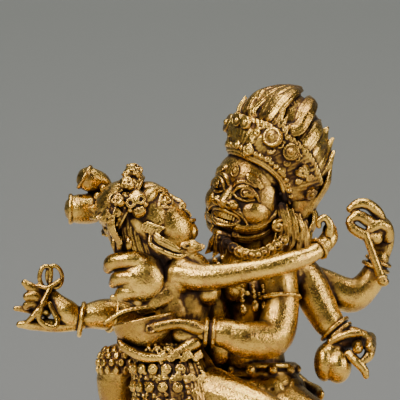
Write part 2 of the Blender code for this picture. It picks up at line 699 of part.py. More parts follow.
def rounded_oval(half_x, half_y, count):
    """Points evenly along a rounded oval, each with its way out."""
    fine = 40 * count
    outline = []
    power = 2 / PLINTH_SQUARENESS
    for k in range(fine + 1):
        angle = 2 * math.pi * k / fine
        across = math.copysign(abs(math.cos(angle)) ** power, math.cos(angle))
        away = math.copysign(abs(math.sin(angle)) ** power, math.sin(angle))
        outline.append(Vector((half_x * across, half_y * away, 0)))
    walked = [0.0]
    for a, b in zip(outline, outline[1:]):
        walked.append(walked[-1] + (b - a).length)
    points = []
    k = 0
    for n in range(count):
        while walked[k + 1] < walked[-1] * n / count:
            k += 1
        way = outline[k + 1] - outline[k]
        points.append((outline[k], Vector((way.y, -way.x, 0)).normalized()))
    return points


def make_plinth():
    """A low rounded plinth: a flat top, one row of lotus petals, a waist and a foot ring."""
    low, high = stance()
    middle = Vector(((low[0] + high[0]) / 2, (low[1] + high[1]) / 2, 0))
    half_x = (high[0] - low[0]) / 2 + PLINTH_MARGIN
    half_y = (high[1] - low[1]) / 2 + PLINTH_MARGIN
    petals_low = FOOT_RING_HEIGHT
    petals_high = PLINTH_HEIGHT - TOP_BAND
    levels = [(0.0, WAIST_DEPTH, 0.0), (FOOT_RING_HEIGHT, WAIST_DEPTH, 0.0),
              (FOOT_RING_HEIGHT, 0.0, 0.0)]
    for share, bulge in ((0.2, 0.75), (0.5, 1.0), (0.8, 0.8), (1.0, 0.35)):
        level = petals_low + share * (petals_high - petals_low)
        levels.append((level, WAIST_DEPTH * share * 0.9, bulge))
    levels += [(petals_high, 0.0, 0.0), (PLINTH_HEIGHT, 0.0, 0.0)]
    per_petal = 4
    outline = rounded_oval(half_x, half_y, PETAL_COUNT * per_petal)
    form = bmesh.new()
    loops = []
    for level, step_out, bulge in levels:
        loop = []
        for k, (spot, way_out) in enumerate(outline):
            petal = abs(math.sin(math.pi * k / per_petal)) ** 0.7
            out = step_out + bulge * petal * PETAL_DEPTH
            place = middle + spot + way_out * out + Vector((0, 0, level))
            loop.append(form.verts.new(place))
        loops.append(loop)
    for a, b in zip(loops, loops[1:]):
        for k in range(len(outline)):
            n = (k + 1) % len(outline)
            form.faces.new((a[k], a[n], b[n], b[k]))
    form.faces.new(loops[0][::-1])
    form.faces.new(loops[-1])
    mesh = bpy.data.meshes.new("lotus_base")
    form.to_mesh(mesh)
    form.free()
    return add_object("lotus_base", mesh, gilding("gilt_plinth", PLINTH_GILDING))


def centre_over_origin(things):
    """Moves the meshes so that the middle of their common box is over the origin."""
    spots = [v.co for thing in things for v in thing.data.vertices]
    middle = [(min(s[i] for s in spots) + max(s[i] for s in spots)) / 2 for i in (0, 1)]
    for thing in things:
        thing.data.transform(Matrix.Translation((-middle[0], -middle[1], 0)))


for old in list(bpy.data.objects):
    bpy.data.objects.remove(old)
centre_over_origin([make_figures(), make_plinth()])
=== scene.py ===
import math

import bmesh
import bpy
import numpy as np
from mathutils import Matrix, Vector
from mathutils.bvhtree import BVHTree


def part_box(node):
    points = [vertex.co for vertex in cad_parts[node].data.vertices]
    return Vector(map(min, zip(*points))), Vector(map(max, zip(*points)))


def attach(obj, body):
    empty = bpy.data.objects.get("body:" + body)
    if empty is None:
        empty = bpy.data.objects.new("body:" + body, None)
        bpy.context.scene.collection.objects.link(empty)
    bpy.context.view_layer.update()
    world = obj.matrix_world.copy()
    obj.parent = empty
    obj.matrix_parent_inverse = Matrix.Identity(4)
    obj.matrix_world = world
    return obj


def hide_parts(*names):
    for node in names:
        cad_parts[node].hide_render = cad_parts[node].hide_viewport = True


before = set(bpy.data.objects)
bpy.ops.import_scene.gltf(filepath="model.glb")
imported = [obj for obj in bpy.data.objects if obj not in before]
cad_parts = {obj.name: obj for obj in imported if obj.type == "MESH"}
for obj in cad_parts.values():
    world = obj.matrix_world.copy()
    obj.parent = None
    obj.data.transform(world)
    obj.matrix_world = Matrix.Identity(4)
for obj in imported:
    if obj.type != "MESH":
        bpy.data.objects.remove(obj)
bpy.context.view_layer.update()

# Place of the group
# The group stands on a grid of 420 steps from sole to hair tip, x to the right, y away, z up.
# The plinth's middle lies under grid point (14, -49), where the three feet balance.
STEP = 0.145 / 420
plinth_low, plinth_high = (Vector(corner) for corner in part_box("lotus_base"))
sole_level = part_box("mahakala_and_consort")[0][2]
grid_start = Vector((
    (plinth_low.x + plinth_high.x) / 2 - 14 * STEP,
    (plinth_low.y + plinth_high.y) / 2 + 49 * STEP,
    sole_level,
))
onto_world = Matrix.Translation(grid_start) @ Matrix.Scale(STEP, 4)


# Camera
# A long lens, level with the embrace, framed as the photograph crops the group at the hips.
VIEW_WIDTH = 400 * STEP
VIEW_DISTANCE = 2.4
lens_sensor = 36.0
target = onto_world @ Vector((-37, -40, 300))
camera_data = bpy.data.cameras.new("camera")
camera_data.sensor_width = lens_sensor
camera_data.lens = lens_sensor * VIEW_DISTANCE / VIEW_WIDTH
camera_data.clip_end = 20.0
camera = bpy.data.objects.new("camera", camera_data)
camera.location = target + Vector((0, -VIEW_DISTANCE, 0))
camera.rotation_euler = (math.radians(90), 0, 0)
bpy.context.collection.objects.link(camera)
bpy.context.scene.camera = camera


# Studio
# A pale floor before a plain grey backdrop, with painted light that makes it a little lighter
# below, under large soft lamps. The backdrop shows from its front alone, so the object can be
# seen from behind.
STAGE_SIZE = 3.0
BACKDROP_AWAY = 0.55
BACKDROP_MIDDLE = 0.9
GREY_BELOW = (0.240, 0.258, 0.278)
GREY_ABOVE = (0.160, 0.178, 0.186)
FADE_START = -0.86
FADE_END = -0.70
WARM = (1.0, 0.92, 0.78)
SOFT_WARM = (1.0, 0.92, 0.80)
PALE_WARM = (1.0, 0.93, 0.82)
NEUTRAL = (1.0, 1.0, 1.0)


def plain_surface(name, colour):
    material = bpy.data.materials.new(name)
    material.use_nodes = True
    shader = material.node_tree.nodes["Principled BSDF"]
    shader.inputs["Base Color"].default_value = (*colour, 1.0)
    shader.inputs["Roughness"].default_value = 0.9
    shader.inputs["Specular IOR Level"].default_value = 0.1
    return material


def lamp(name, place, size, power, colour):
    data = bpy.data.lights.new(name, "AREA")
    data.shape = "RECTANGLE"
    data.size, data.size_y = size
    data.energy = power
    data.color = colour
    thing = bpy.data.objects.new(name, data)
    thing.location = place
    way = target - Vector(place)
    thing.rotation_euler = way.to_track_quat("-Z", "Y").to_euler()
    bpy.context.collection.objects.link(thing)


for thing in bpy.context.selected_objects:
    thing.select_set(False)
bpy.ops.mesh.primitive_plane_add(size=STAGE_SIZE, location=(0, 0, 0))
floor = bpy.context.object
floor.name = "floor"
floor.data.materials.append(plain_surface("pale_floor", (0.62, 0.62, 0.61)))
bpy.ops.mesh.primitive_plane_add(size=STAGE_SIZE,
                                 location=(0, BACKDROP_AWAY, BACKDROP_MIDDLE),
                                 rotation=(math.radians(90), 0, 0))
backdrop = bpy.context.object
backdrop.name = "backdrop"
backdrop_grey = plain_surface("grey_backdrop", GREY_ABOVE)
backdrop.data.materials.append(backdrop_grey)
nodes = backdrop_grey.node_tree.nodes
links = backdrop_grey.node_tree.links
# Painted light: the backdrop's grey is painted lighter towards its foot.
height = nodes.new("ShaderNodeSeparateXYZ")
links.new(nodes.new("ShaderNodeTexCoord").outputs["Object"], height.inputs[0])
fade = nodes.new("ShaderNodeMapRange")
fade.inputs["From Min"].default_value = FADE_START
fade.inputs["From Max"].default_value = FADE_END
fade.inputs["To Min"].default_value = 0.0
fade.inputs["To Max"].default_value = 1.0
links.new(height.outputs["Y"], fade.inputs["Value"])
greys = nodes.new("ShaderNodeMix")
greys.data_type = "RGBA"
links.new(fade.outputs["Result"], greys.inputs["Factor"])
greys.inputs[6].default_value = (*GREY_BELOW, 1.0)
greys.inputs[7].default_value = (*GREY_ABOVE, 1.0)
links.new(greys.outputs[2], nodes["Principled BSDF"].inputs["Base Color"])
one_sided = nodes.new("ShaderNodeMixShader")
links.new(nodes.new("ShaderNodeNewGeometry").outputs["Backfacing"], one_sided.inputs["Fac"])
links.new(nodes["Principled BSDF"].outputs["BSDF"], one_sided.inputs[1])
links.new(nodes.new("ShaderNodeBsdfTransparent").outputs["BSDF"], one_sided.inputs[2])
links.new(one_sided.outputs["Shader"], nodes["Material Output"].inputs["Surface"])

lamp("key", (-0.42, -0.50, 0.62), (0.24, 0.18), 8.2, WARM)
lamp("side", (0.62, -0.26, 0.30), (0.12, 0.36), 3.0, SOFT_WARM)
lamp("top", (0.05, 0.0, 0.75), (0.30, 0.24), 4.2, PALE_WARM)
lamp("wash", (0.0, 0.1, 1.3), (1.2, 0.6), 4.0, NEUTRAL)
world = bpy.data.worlds.new("studio")
world.use_nodes = True
world.node_tree.nodes["Background"].inputs["Color"].default_value = (0.10, 0.10, 0.10, 1.0)
world.node_tree.nodes["Background"].inputs["Strength"].default_value = 0.5
bpy.context.scene.world = world


# His body and hers
# The two trunks, the arms and the legs, modelled in wax as full rounded limbs and cast in
# bronze as one group. The hands, heads and dress are chased sharper than the limbs.
UPRIGHT = ((1, 0, 0), (0, 0, 1))
HIS_BODY = ((-0.82, -0.57, 0.0), (0.0, 0.0, 1.0))
HER_BODY = ((1.0, 0.0, 0.0), (0.0, 0.0, 1.0))


def axes(forward, up):
    """A turned frame with forward, left and up as its columns."""
    forward = Vector(forward).normalized()
    up = Vector(up)
    up = (up - up.dot(forward) * forward).normalized()
    return Matrix((forward, up.cross(forward), up)).transposed()


def placer(centre, facing):
    """A function that gives the grid point at so far forward, left and up of a centre."""
    turn = axes(*facing)
    start = Vector(centre)

    def place(forward, left, up):
        return start + turn @ Vector((forward, left, up))

    return place


def ball(form, centre, radii, facing=UPRIGHT, sides=24, rings=16):
    """An egg with its own half-lengths forward, left and up."""
    place = placer(centre, facing)
    loops = []
    for r in range(1, rings):
        polar = math.pi * r / rings
        loop = []
        for k in range(sides):
            way = 2 * math.pi * k / sides
            loop.append(form.verts.new(place(
                radii[0] * math.sin(polar) * math.cos(way),
                radii[1] * math.sin(polar) * math.sin(way),
                radii[2] * math.cos(polar),
            )))
        loops.append(loop)
    top = form.verts.new(place(0, 0, radii[2]))
    bottom = form.verts.new(place(0, 0, -radii[2]))
    for k in range(sides):
        n = (k + 1) % sides
        for a, b in zip(loops, loops[1:]):
            form.faces.new((a[k], b[k], b[n], a[n]))
        form.faces.new((loops[0][k], loops[0][n], top))
        form.faces.new((loops[-1][n], loops[-1][k], bottom))


def smooth_route(points, radii, spans):
    """Points and radii read from a smooth curve through the given ones."""
    points = [Vector(p) for p in points]
    ends = [2 * points[0] - points[1]] + points + [2 * points[-1] - points[-2]]
    route = []
    for i in range(len(points) - 1):
        a, b, c, d = ends[i:i + 4]
        for k in range(spans):
            t = k / spans
            spot = 0.5 * (
                2 * b + (c - a) * t
                + (2 * a - 5 * b + 4 * c - d) * t ** 2
                + (3 * b - a - 3 * c + d) * t ** 3
            )
            ease = t * t * (3 - 2 * t)
            route.append((spot, radii[i] * (1 - ease) + radii[i + 1] * ease))
    route.append((points[-1], radii[-1]))
    return route


def limb(form, points, radii, flat=1.0, wide_way=(0, 0, 1), sides=20, spans=6,
         flutes=0, flute_depth=0.0):
    """A round or fluted limb along a smooth route, with domed ends."""
    route = smooth_route(points, radii, spans)
    first = (route[1][0] - route[0][0]).normalized()
    last = (route[-1][0] - route[-2][0]).normalized()
    start, start_radius = route[0]
    end, end_radius = route[-1]
    for rise, share in ((0.45, 0.89), (0.8, 0.6)):
        route.insert(0, (start - first * start_radius * rise, start_radius * share))
        route.append((end + last * end_radius * rise, end_radius * share))
    side = Vector(wide_way)
    loops = []
    for i, (spot, radius) in enumerate(route):
        ahead = route[min(i + 1, len(route) - 1)][0] - route[max(i - 1, 0)][0]
        ahead.normalize()
        wide = side - side.dot(ahead) * ahead
        if wide.length < 0.05:
            wide = ahead.orthogonal()
        wide.normalize()
        side = wide
        thin = ahead.cross(wide)
        loop = []
        for k in range(sides):
            angle = 2 * math.pi * k / sides
            groove = 1 + flute_depth * math.cos(flutes * angle)
            offset = wide * math.cos(angle) + thin * math.sin(angle) * flat
            loop.append(form.verts.new(spot + offset * radius * groove))
        loops.append(loop)
    for a, b in zip(loops, loops[1:]):
        for k in range(sides):
            n = (k + 1) % sides
            form.faces.new((a[k], a[n], b[n], b[k]))
    tip = form.verts.new(route[0][0] - first * start_radius * 0.2)
    tail = form.verts.new(route[-1][0] + last * end_radius * 0.2)
    for k in range(sides):
        n = (k + 1) % sides
        form.faces.new((loops[0][n], loops[0][k], tip))
        form.faces.new((loops[-1][k], loops[-1][n], tail))


def ring(form, centre, facing, reach, thick, sides=36, tube=12):
    """A round bar bent about a frame's upright; reach is its half-lengths forward and left."""
    place = placer(centre, facing)
    points = []
    for k in range(sides + 1):
        angle = 2 * math.pi * k / sides
        points.append(place(reach[0] * math.cos(angle), reach[1] * math.sin(angle), 0))
    limb(form, points, [thick] * len(points), wide_way=axes(*facing).col[2],
         sides=tube, spans=1)


def bangle(form, before, after, share, radius, thick, beads=0):
    """A ring around a limb, plain or set with beads, at a share of the way along it."""
    before = Vector(before)
    after = Vector(after)
    along = (after - before).normalized()
    spot = before.lerp(after, share)
    facing = (along.orthogonal(), along)
    ring(form, spot, facing, (radius, radius), thick, sides=28)
    place = placer(spot, facing)
    for k in range(beads):
        angle = 2 * math.pi * k / beads
        out = radius + thick * 0.6
        ball(form, place(out * math.cos(angle), out * math.sin(angle), 0),
             (thick * 0.8,) * 3, sides=10, rings=8)


def foot(form, heel, toe, width):
    """A foot from heel to toes, thicker at the instep, with five toes."""
    heel = Vector(heel)
    toe = Vector(toe)
    along = (toe - heel).normalized()
    across = along.cross(Vector((0, 0, 1)))
    length = (toe - heel).length
    middle = heel.lerp(toe, 0.45) + Vector((0, 0, width * 0.15))
    limb(form, [heel, middle, toe - along * length * 0.22],
         [width * 0.8, width * 0.85, width * 0.72], flat=1.15)
    for k in range(5):
        shift = (k - 2) * width * 0.42
        reach = length * (0.16 - 0.03 * abs(k - 1))
        root = toe - along * length * 0.25 + across * shift
        limb(form, [root, root + along * (reach + length * 0.12)],
             [width * 0.25, width * 0.21], sides=12)


def his_body(form):
    ball(form, (28, 4, 104), (40, 44, 37), HIS_BODY)
    limb(form, [(24, 4, 102), (20, 4, 142), (15, 4, 196), (14, 3, 226), (16, 0, 256)],
         [34, 28, 33, 26, 18])
    ball(form, (7, -6, 152), (25, 27, 27), HIS_BODY)
    ball(form, (14, 4, 212), (29, 46, 32), HIS_BODY)
    ball(form, (-4, -26, 212), (14, 19, 15), HIS_BODY)
    ball(form, (-20, -4, 212), (14, 19, 15), HIS_BODY)
    limb(form, [(-2, 4, 272), (0, 2, 252), (4, 0, 236)], [17, 18, 20])
    limb(form, [(-30, -26, 215), (-22, -20, 185), (-18, -14, 150)], [15, 16, 16])
    ball(form, (32, 0, 259), (17, 16, 17))
    for rise in (126, 134):
        ring(form, (24, 4, rise), HIS_BODY, (33, 35), 3.2)
    for k in range(10):
        angle = math.radians(36 * k)
        out = axes(*HIS_BODY) @ Vector((35 * math.cos(angle), 38 * math.sin(angle), 0))
        ball(form, Vector((24, 4, 130)) + out, (5, 5, 5), sides=14, rings=10)


def his_legs(form):
    limb(form, [(8, 20, 100), (-50, 22, 119), (-114, 10, 130), (-117, 14, 82),
                (-113, 20, 42), (-110, 20, 16)], [28, 28, 23, 18, 13, 11], sides=28)
    ball(form, (-117, 8, 134), (23, 21, 22))
    for rise, reach in ((116, 20.5), (110, 20)):
        ring(form, (-116, 12, rise), ((1, 0, 0), (-0.05, 0.1, 1)), (reach, reach), 1.8)
    foot(form, (-104, 22, 8), (-150, 12, 5), 13)
    bangle(form, (-113, 20, 42), (-110, 20, 16), 0.7, 12, 3, 12)
    limb(form, [(38, -8, 96), (70, -26, 76), (106, -42, 60), (142, -54, 38),
                (171, -61, 13)], [31, 28, 21, 16, 11], sides=28)
    foot(form, (178, -62, 8), (172, -110, 5), 13)
    bangle(form, (142, -54, 38), (171, -61, 13), 0.75, 12.5, 3, 12)


def skin_marks(form):
    """Tiger stripes over his bent knee and chased arcs over the swell of his hip."""
    knee = placer((-117, 8, 134), ((0, -1, 0), (0, 0, 1)))
    for row in range(5):
        for k in range(9):
            turn = math.radians(-96 + 24 * k + 12 * (row % 2))
            rise = math.radians(52 - 19 * row)
            for half in (-1, 1):
                line = []
                for t in range(4):
                    bend = half * (0.10 - 0.05 * abs(t - 1.5)) + 0.04
                    around = turn + bend
                    up = rise - 0.085 * t
                    line.append(knee(22.6 * math.cos(up) * math.cos(around),
                                     24.6 * math.cos(up) * math.sin(around),
                                     23.6 * math.sin(up)))
                limb(form, line, [1.0, 1.2, 1.2, 0.9], sides=8, spans=2)
    hip = placer((28, 4, 104), HIS_BODY)
    for ripple in range(4):
        for centre in (62, 108, 154, 202, 248):
            reach = 0.09 + 0.075 * ripple
            line = []
            for t in range(9):
                way = 2 * math.pi * t / 8
                around = math.radians(centre) + reach * math.cos(way)
                up = 0.18 + reach * 0.9 * math.sin(way)
                line.append(hip(40.4 * math.cos(up) * math.cos(around),
                                44.4 * math.cos(up) * math.sin(around),
                                37.4 * math.sin(up)))
            limb(form, line, [0.9] * 9, sides=8, spans=3)


def his_arms(form):
    ball(form, (41, -31, 229), (20, 21, 21))
    limb(form, [(40, -31, 230), (43, -40, 192), (35, -53, 163), (8, -66, 161),
                (-12, -69, 167), (-34, -69, 169)], [20, 19, 20, 19, 15, 11], sides=28)
    limb(form, [(45, -18, 226), (66, -12, 226), (80, -14, 199), (91, -18, 179),
                (104, -21, 164)], [20, 18, 18, 16, 12], sides=28)
    limb(form, [(45, 0, 226), (82, 4, 219), (113, 8, 204), (133, 8, 217),
                (144, 6, 242)], [17, 14, 18, 14, 10], sides=24)
    ball(form, (-9, 37, 226), (19, 20, 20))
    limb(form, [(-8, 36, 226), (-46, 36, 206), (-84, 14, 200), (-102, -18, 212),
                (-108, -40, 220)], [18, 15, 14, 11, 10])
    limb(form, [(-8, 40, 228), (-48, 46, 224), (-84, 40, 232), (-112, 22, 254),
                (-128, 8, 278)], [16, 14, 14, 11, 9])
    limb(form, [(-8, 34, 224), (-50, 36, 196), (-92, 24, 178), (-130, 8, 185),
                (-162, -2, 181)], [16, 15, 17, 16, 11])


def her_body(form):
    limb(form, [(-50, -44, 118), (-58, -40, 160), (-49, -36, 206), (-46, -38, 226),
                (-58, -42, 244), (-74, -44, 262)], [32, 22, 26, 22, 15, 14], sides=28)
    ball(form, (-48, -38, 220), (22, 33, 18), HER_BODY)
    ball(form, (-30, -50, 208), (14, 14, 14))
    ball(form, (-30, -22, 208), (14, 14, 14))
    ball(form, (-57, -57, 224), (18, 15, 19))
    limb(form, [(-58, -58, 226), (-28, -68, 223), (24, -70, 231), (52, -64, 238),
                (74, -52, 246), (88, -40, 256)], [15, 13, 10.2, 10.6, 8.6, 8.5], sides=28)
    limb(form, [(-57, -56, 228), (-66, -50, 208), (-62, -46, 186)], [15, 17, 19], sides=28)
    ball(form, (-50, -10, 226), (16, 15, 15))
    limb(form, [(-50, -10, 226), (-24, 10, 228), (10, 46, 238), (42, 44, 244)],
         [14, 13, 11, 9])


def her_legs(form):
    limb(form, [(-30, -56, 108), (18, -76, 90), (58, -85, 71), (88, -89, 42),
                (109, -91, 14)], [27, 23, 17, 13, 9], sides=28)
    foot(form, (112, -92, 9), (128, -120, 4), 9.8)
    bangle(form, (88, -89, 42), (109, -91, 14), 0.78, 11, 2.6, 12)
    limb(form, [(-45, -16, 124), (-30, 34, 146), (10, 62, 142), (46, 52, 124),
                (66, 34, 112)], [22, 19, 15, 12, 9])
    limb(form, [(66, 34, 112), (80, 16, 106), (84, 2, 104)], [8, 8, 6], flat=0.7)


def cast(name, builds, voxel, most_faces):
    """Runs wax forms together into one skin, and brings it into the world as a piece."""
    form = bmesh.new()
    for build in builds:
        build(form)
    bmesh.ops.transform(form, matrix=onto_world, verts=form.verts)
    mesh = bpy.data.meshes.new(name)
    form.to_mesh(mesh)
    form.free()
    piece = bpy.data.objects.new(name, mesh)
    bpy.context.collection.objects.link(piece)
    bpy.context.view_layer.objects.active = piece
    skin = piece.modifiers.new("one_skin", "REMESH")
    skin.mode = "VOXEL"
    skin.voxel_size = voxel
    bpy.ops.object.modifier_apply(modifier="one_skin")
    smooth = piece.modifiers.new("soften", "SMOOTH")
    smooth.factor = 0.45
    smooth.iterations = 1
    bpy.ops.object.modifier_apply(modifier="soften")
    count = 2 * len(piece.data.polygons)
    if count > most_faces:
        fewer = piece.modifiers.new("fewer_faces", "DECIMATE")
        fewer.ratio = most_faces / count
        bpy.ops.object.modifier_apply(modifier="fewer_faces")
    piece.data.polygons.foreach_set("use_smooth", [True] * len(piece.data.polygons))
    return piece


cast_pieces = []
cast_pieces.append(cast(
    "bodies", (his_body, his_legs, skin_marks, his_arms, her_body, her_legs),
    voxel=0.00036, most_faces=150000,
))


# Hands and what they hold
# Eight small hands with slim fingers, a skull cup and a chopper behind her back, a noose, a
# hand drum, a staff and a lobed object, all modelled on the arms and cast with them.
def bowl(form, centre, radii, wall, facing, sides=40, steps=12):
    """A thin round bowl, hollow above; radii are its half-lengths forward, left and down."""
    place = placer(centre, facing)
    loops = []
    profile = [(k, 0.0) for k in range(1, steps + 1)]
    profile += [(k, wall) for k in range(steps, 0, -1)]
    for k, inset in profile:
        angle = 0.5 * math.pi * k / steps
        loop = []
        for n in range(sides):
            way = 2 * math.pi * n / sides
            loop.append(form.verts.new(place(
                (radii[0] - inset) * math.sin(angle) * math.cos(way),
                (radii[1] - inset) * math.sin(angle) * math.sin(way),
                -(radii[2] - inset) * math.cos(angle),
            )))
        loops.append(loop)
    for a, b in zip(loops, loops[1:]):
        for k in range(sides):
            n = (k + 1) % sides
            form.faces.new((a[k], a[n], b[n], b[k]))
    form.faces.new(loops[0][::-1])
    form.faces.new(loops[-1])


def cup_and_hand(form):
    bowl(form, (-93, -62, 181), (32, 24, 31), 3.6, ((1, 0, 0.22), (-0.22, 0, 1)))
    ring(form, (-93, -62, 181), ((1, 0, 0.22), (-0.22, 0, 1)), (31, 23), 1.8)
    ball(form, (-46, -69, 167), (19, 9, 14))
    for k in range(4):
        low = 144 + 2.2 * k
        near = -78 + 9 * k
        limb(form, [(-42, near * 0.5 - 34, 158), (-68, near, low + 1), (-92, near, low),
                    (-112, near + 2, low + 9), (-117, near + 4, low + 14)],
             [7, 5.6, 5.2, 4.4, 3], sides=14)
    limb(form, [(-38, -77, 172), (-58, -82, 177), (-78, -86, 174), (-86, -86, 172)],
         [7, 5.5, 5.5, 4.6], sides=14)
    ring(form, (-86, -91, 172), ((1, 0, 0), (0, -1, 0)), (4.4, 3.6), 1.1, sides=18)
    for k in range(5):
        ball(form, (-108 + 9 * k, -86.0, 166 - 3.2 * k), (1.6, 1.6, 1.6), sides=8, rings=6)
    bangle(form, (-12, -69, 167), (-34, -69, 169), 0.52, 13.5, 2.2, 14)
    bangle(form, (-12, -69, 167), (-34, -69, 169), 0.86, 13, 2.2)
    bangle(form, (40, -31, 230), (43, -40, 192), 0.75, 19.5, 2.6, 16)


def chopper_and_fist(form):
    ball(form, (-95, -58, 221), (25, 19, 27), sides=36, rings=24)
    ball(form, (-104, -50, 222), (17, 15, 22), sides=28, rings=20)
    limb(form, [(-82, -58, 236), (-104, -67, 240), (-123, -63, 238), (-128, -51, 232)],
         [8, 9, 8.6, 6], sides=20)
    limb(form, [(-84, -60, 221), (-102, -69, 223), (-118, -65, 222), (-123, -52, 217)],
         [7.5, 8, 7.6, 5.4], sides=20)
    limb(form, [(-84, -58, 206), (-100, -66, 208), (-113, -62, 207), (-118, -50, 204)],
         [8, 8.4, 7.8, 5.4], sides=20)
    for rise, reach in ((245, 10), (249, 8)):
        ring(form, (-111, -54, rise), UPRIGHT, (reach, reach - 1), 2.4)
    ball(form, (-110, -54, 257), (9, 9, 9))
    for k in range(8):
        angle = math.radians(45 * k + 10)
        limb(form, [Vector((-110 + 9 * math.cos(angle), -54 + 9 * math.sin(angle), 248)),
                    Vector((-110 + 13 * math.cos(angle), -54 + 13 * math.sin(angle), 258)),
                    Vector((-110 + 5 * math.cos(angle), -54 + 5 * math.sin(angle), 269))],
             [3.2, 3.6, 2], sides=10)
    ball(form, (-110, -54, 271), (3.5, 3.5, 4))
    limb(form, [(-131, -64, 178), (-112, -66, 189), (-90, -66, 193)], [2.6, 3.2, 2.6],
         sides=12)
    limb(form, [(-94, -62, 192), (-84, -64, 198), (-70, -64, 206), (-56, -60, 215)],
         [7, 10, 9, 4], flat=0.45, wide_way=(-0.5, 0, 1), sides=16)
    limb(form, [(-104, -60, 206), (-98, -62, 198)], [6, 7], sides=14)
    limb(form, [(-124, -58, 203), (-104, -60, 201), (-86, -60, 205)], [3, 4.5, 3], sides=12)


def noose_and_hand(form):
    limb(form, [(-160, -2, 180), (-172, -6, 188), (-186, -6, 203)], [12, 13, 8], flat=0.9)
    limb(form, [(-158, -2, 178), (-176, -6, 174), (-196, -8, 174)], [9, 7, 6])
    for route, radii in (
        ([(-188, -6, 202), (-203, -12, 210), (-208, -14, 213), (-213, -15, 217)],
         [6, 5.5, 5, 3.6]),
        ([(-190, -8, 196), (-203, -14, 203), (-210, -16, 203)], [6, 6, 5]),
        ([(-192, -8, 188), (-205, -12, 196), (-211, -12, 194)], [6, 5, 4.5]),
        ([(-192, -2, 186), (-210, -6, 190), (-222, -8, 191)], [5.5, 4, 2.8]),
        ([(-186, -8, 174), (-205, -12, 175), (-218, -14, 175)], [7, 6, 3.6]),
    ):
        limb(form, route, radii, sides=14)
    ring(form, (-183, -10, 223), ((1, 0, 0.15), (0.2, -1, 0)), (7.5, 11), 2.3)
    limb(form, [(-190, -10, 206), (-198, -12, 220), (-195, -12, 232), (-187, -11, 231),
                (-188, -12, 214), (-192, -12, 206)], [2.4] * 6, sides=12)
    limb(form, [(-200, -14, 214), (-190, -16, 212), (-178, -14, 219)], [2.4] * 3, sides=12)
    limb(form, [(-188, -16, 210), (-195, -20, 196), (-198, -20, 180), (-186, -20, 172),
                (-180, -18, 178), (-188, -16, 196)], [2.8] * 6, sides=12)
    limb(form, [(-192, -18, 198), (-204, -20, 184), (-210, -18, 178)], [3, 3, 2.6],
         sides=12)
    ring(form, (-156, -2, 180), ((0.15, 0, 1), (1, 0, 0.1)), (16, 13), 2.6)
    bangle(form, (-92, 24, 178), (-130, 8, 185), 0.9, 16.5, 2.0)


def drum_and_hand(form):
    limb(form, [(-128, 0, 306), (-139, -4, 317), (-149, -8, 321)], [8, 12, 12.5], spans=5)
    limb(form, [(-130, 0, 300), (-146, -4, 292), (-159, -8, 291)], [9, 15.5, 15], spans=5)
    ring(form, (-153, -8, 323), ((0.5, 0, 0.85), (-0.85, 0, 0.5)), (12, 11), 2.2)
    ring(form, (-167, -8, 291), ((0, 0, 1), (-1, 0, 0.05)), (13.5, 12.5), 2.3)
    limb(form, [(-126, 8, 274), (-128, 4, 288), (-128, 0, 300)], [11, 12, 11], flat=0.8)
    for route in (
        [(-126, -4, 292), (-134, -14, 296), (-140, -18, 304)],
        [(-124, -4, 298), (-130, -14, 304), (-134, -18, 312)],
        [(-126, -4, 284), (-136, -14, 286), (-144, -20, 292)],
        [(-118, 0, 302), (-112, -8, 298), (-118, -12, 284), (-122, -12, 272)],
    ):
        limb(form, route, [5.2] * (len(route) - 1) + [3.8], sides=14)
    bangle(form, (-112, 22, 254), (-128, 8, 278), 0.78, 11, 2.4, 12)


def staff_and_hand(form):
    limb(form, [(144, 6, 244), (148, 6, 258), (147, 4, 270), (141, 2, 280)],
         [10, 10.5, 11, 9], flat=0.7, wide_way=(1, 0, 0.2))
    for route, radii in (
        ([(146, 0, 275), (141, -6, 287), (132, -10, 295), (122, -12, 296), (114, -12, 291)],
         [7, 6.5, 6, 5.5, 4.4]),
        ([(144, -6, 270), (134, -12, 277), (122, -15, 284), (114, -16, 280)],
         [7, 6.5, 6, 4.6]),
        ([(140, -8, 262), (128, -14, 265), (117, -17, 271), (113, -17, 277)],
         [7, 6, 5.5, 4.4]),
        ([(152, -2, 263), (151, -8, 272), (142, -12, 275), (134, -15, 271)],
         [6.5, 6, 5.5, 4.6]),
        ([(129, -16, 266), (137, -17, 244), (146, -16, 219)], [4.2, 4.2, 5]),
    ):
        limb(form, route, radii, sides=16)
    ball(form, (147, -16, 218), (6, 6, 5))
    ring(form, (145, -16, 222), ((1, 0, 0.3), (-0.35, 0, 1)), (5.5, 5.5), 1.4, sides=20)
    bangle(form, (133, 8, 217), (144, 6, 242), 0.62, 13, 2.4)
    bangle(form, (133, 8, 217), (144, 6, 242), 0.86, 11.5, 2.4, 12)


def lobed_thing_and_hand(form):
    ball(form, (88, -26, 137), (11, 16, 19))
    ball(form, (101, -28, 134), (14, 16, 18))
    ball(form, (95, -24, 148), (14, 14, 11))
    limb(form, [(103, -22, 160), (115, -22, 162), (126, -24, 160)], [12, 11.5, 10])
    limb(form, [(94, -32, 158), (108, -36, 165), (122, -36, 167)], [4, 4, 4], sides=14)
    for tip in ((121, -42, 151), (133, -40, 153)):
        root = Vector(tip) + Vector((0, 22, 8))
        limb(form, [root, root.lerp(Vector(tip), 0.5), tip], [7, 6.5, 5.2], sides=16)
        ball(form, Vector(tip) + Vector((0, -4, 0)), (3.4, 2.6, 3.4), sides=14, rings=10)
    limb(form, [(112, -36, 146), (120, -40, 138), (127, -40, 130), (129, -40, 124)],
         [5, 5, 4.6, 3.4], sides=14)
    limb(form, [(134, -30, 156), (132, -36, 145), (125, -40, 138)], [6, 5.5, 4], sides=14)
    bangle(form, (91, -18, 179), (104, -21, 164), 0.55, 16.5, 2.0)
    bangle(form, (91, -18, 179), (104, -21, 164), 0.85, 14, 2.4, 14)


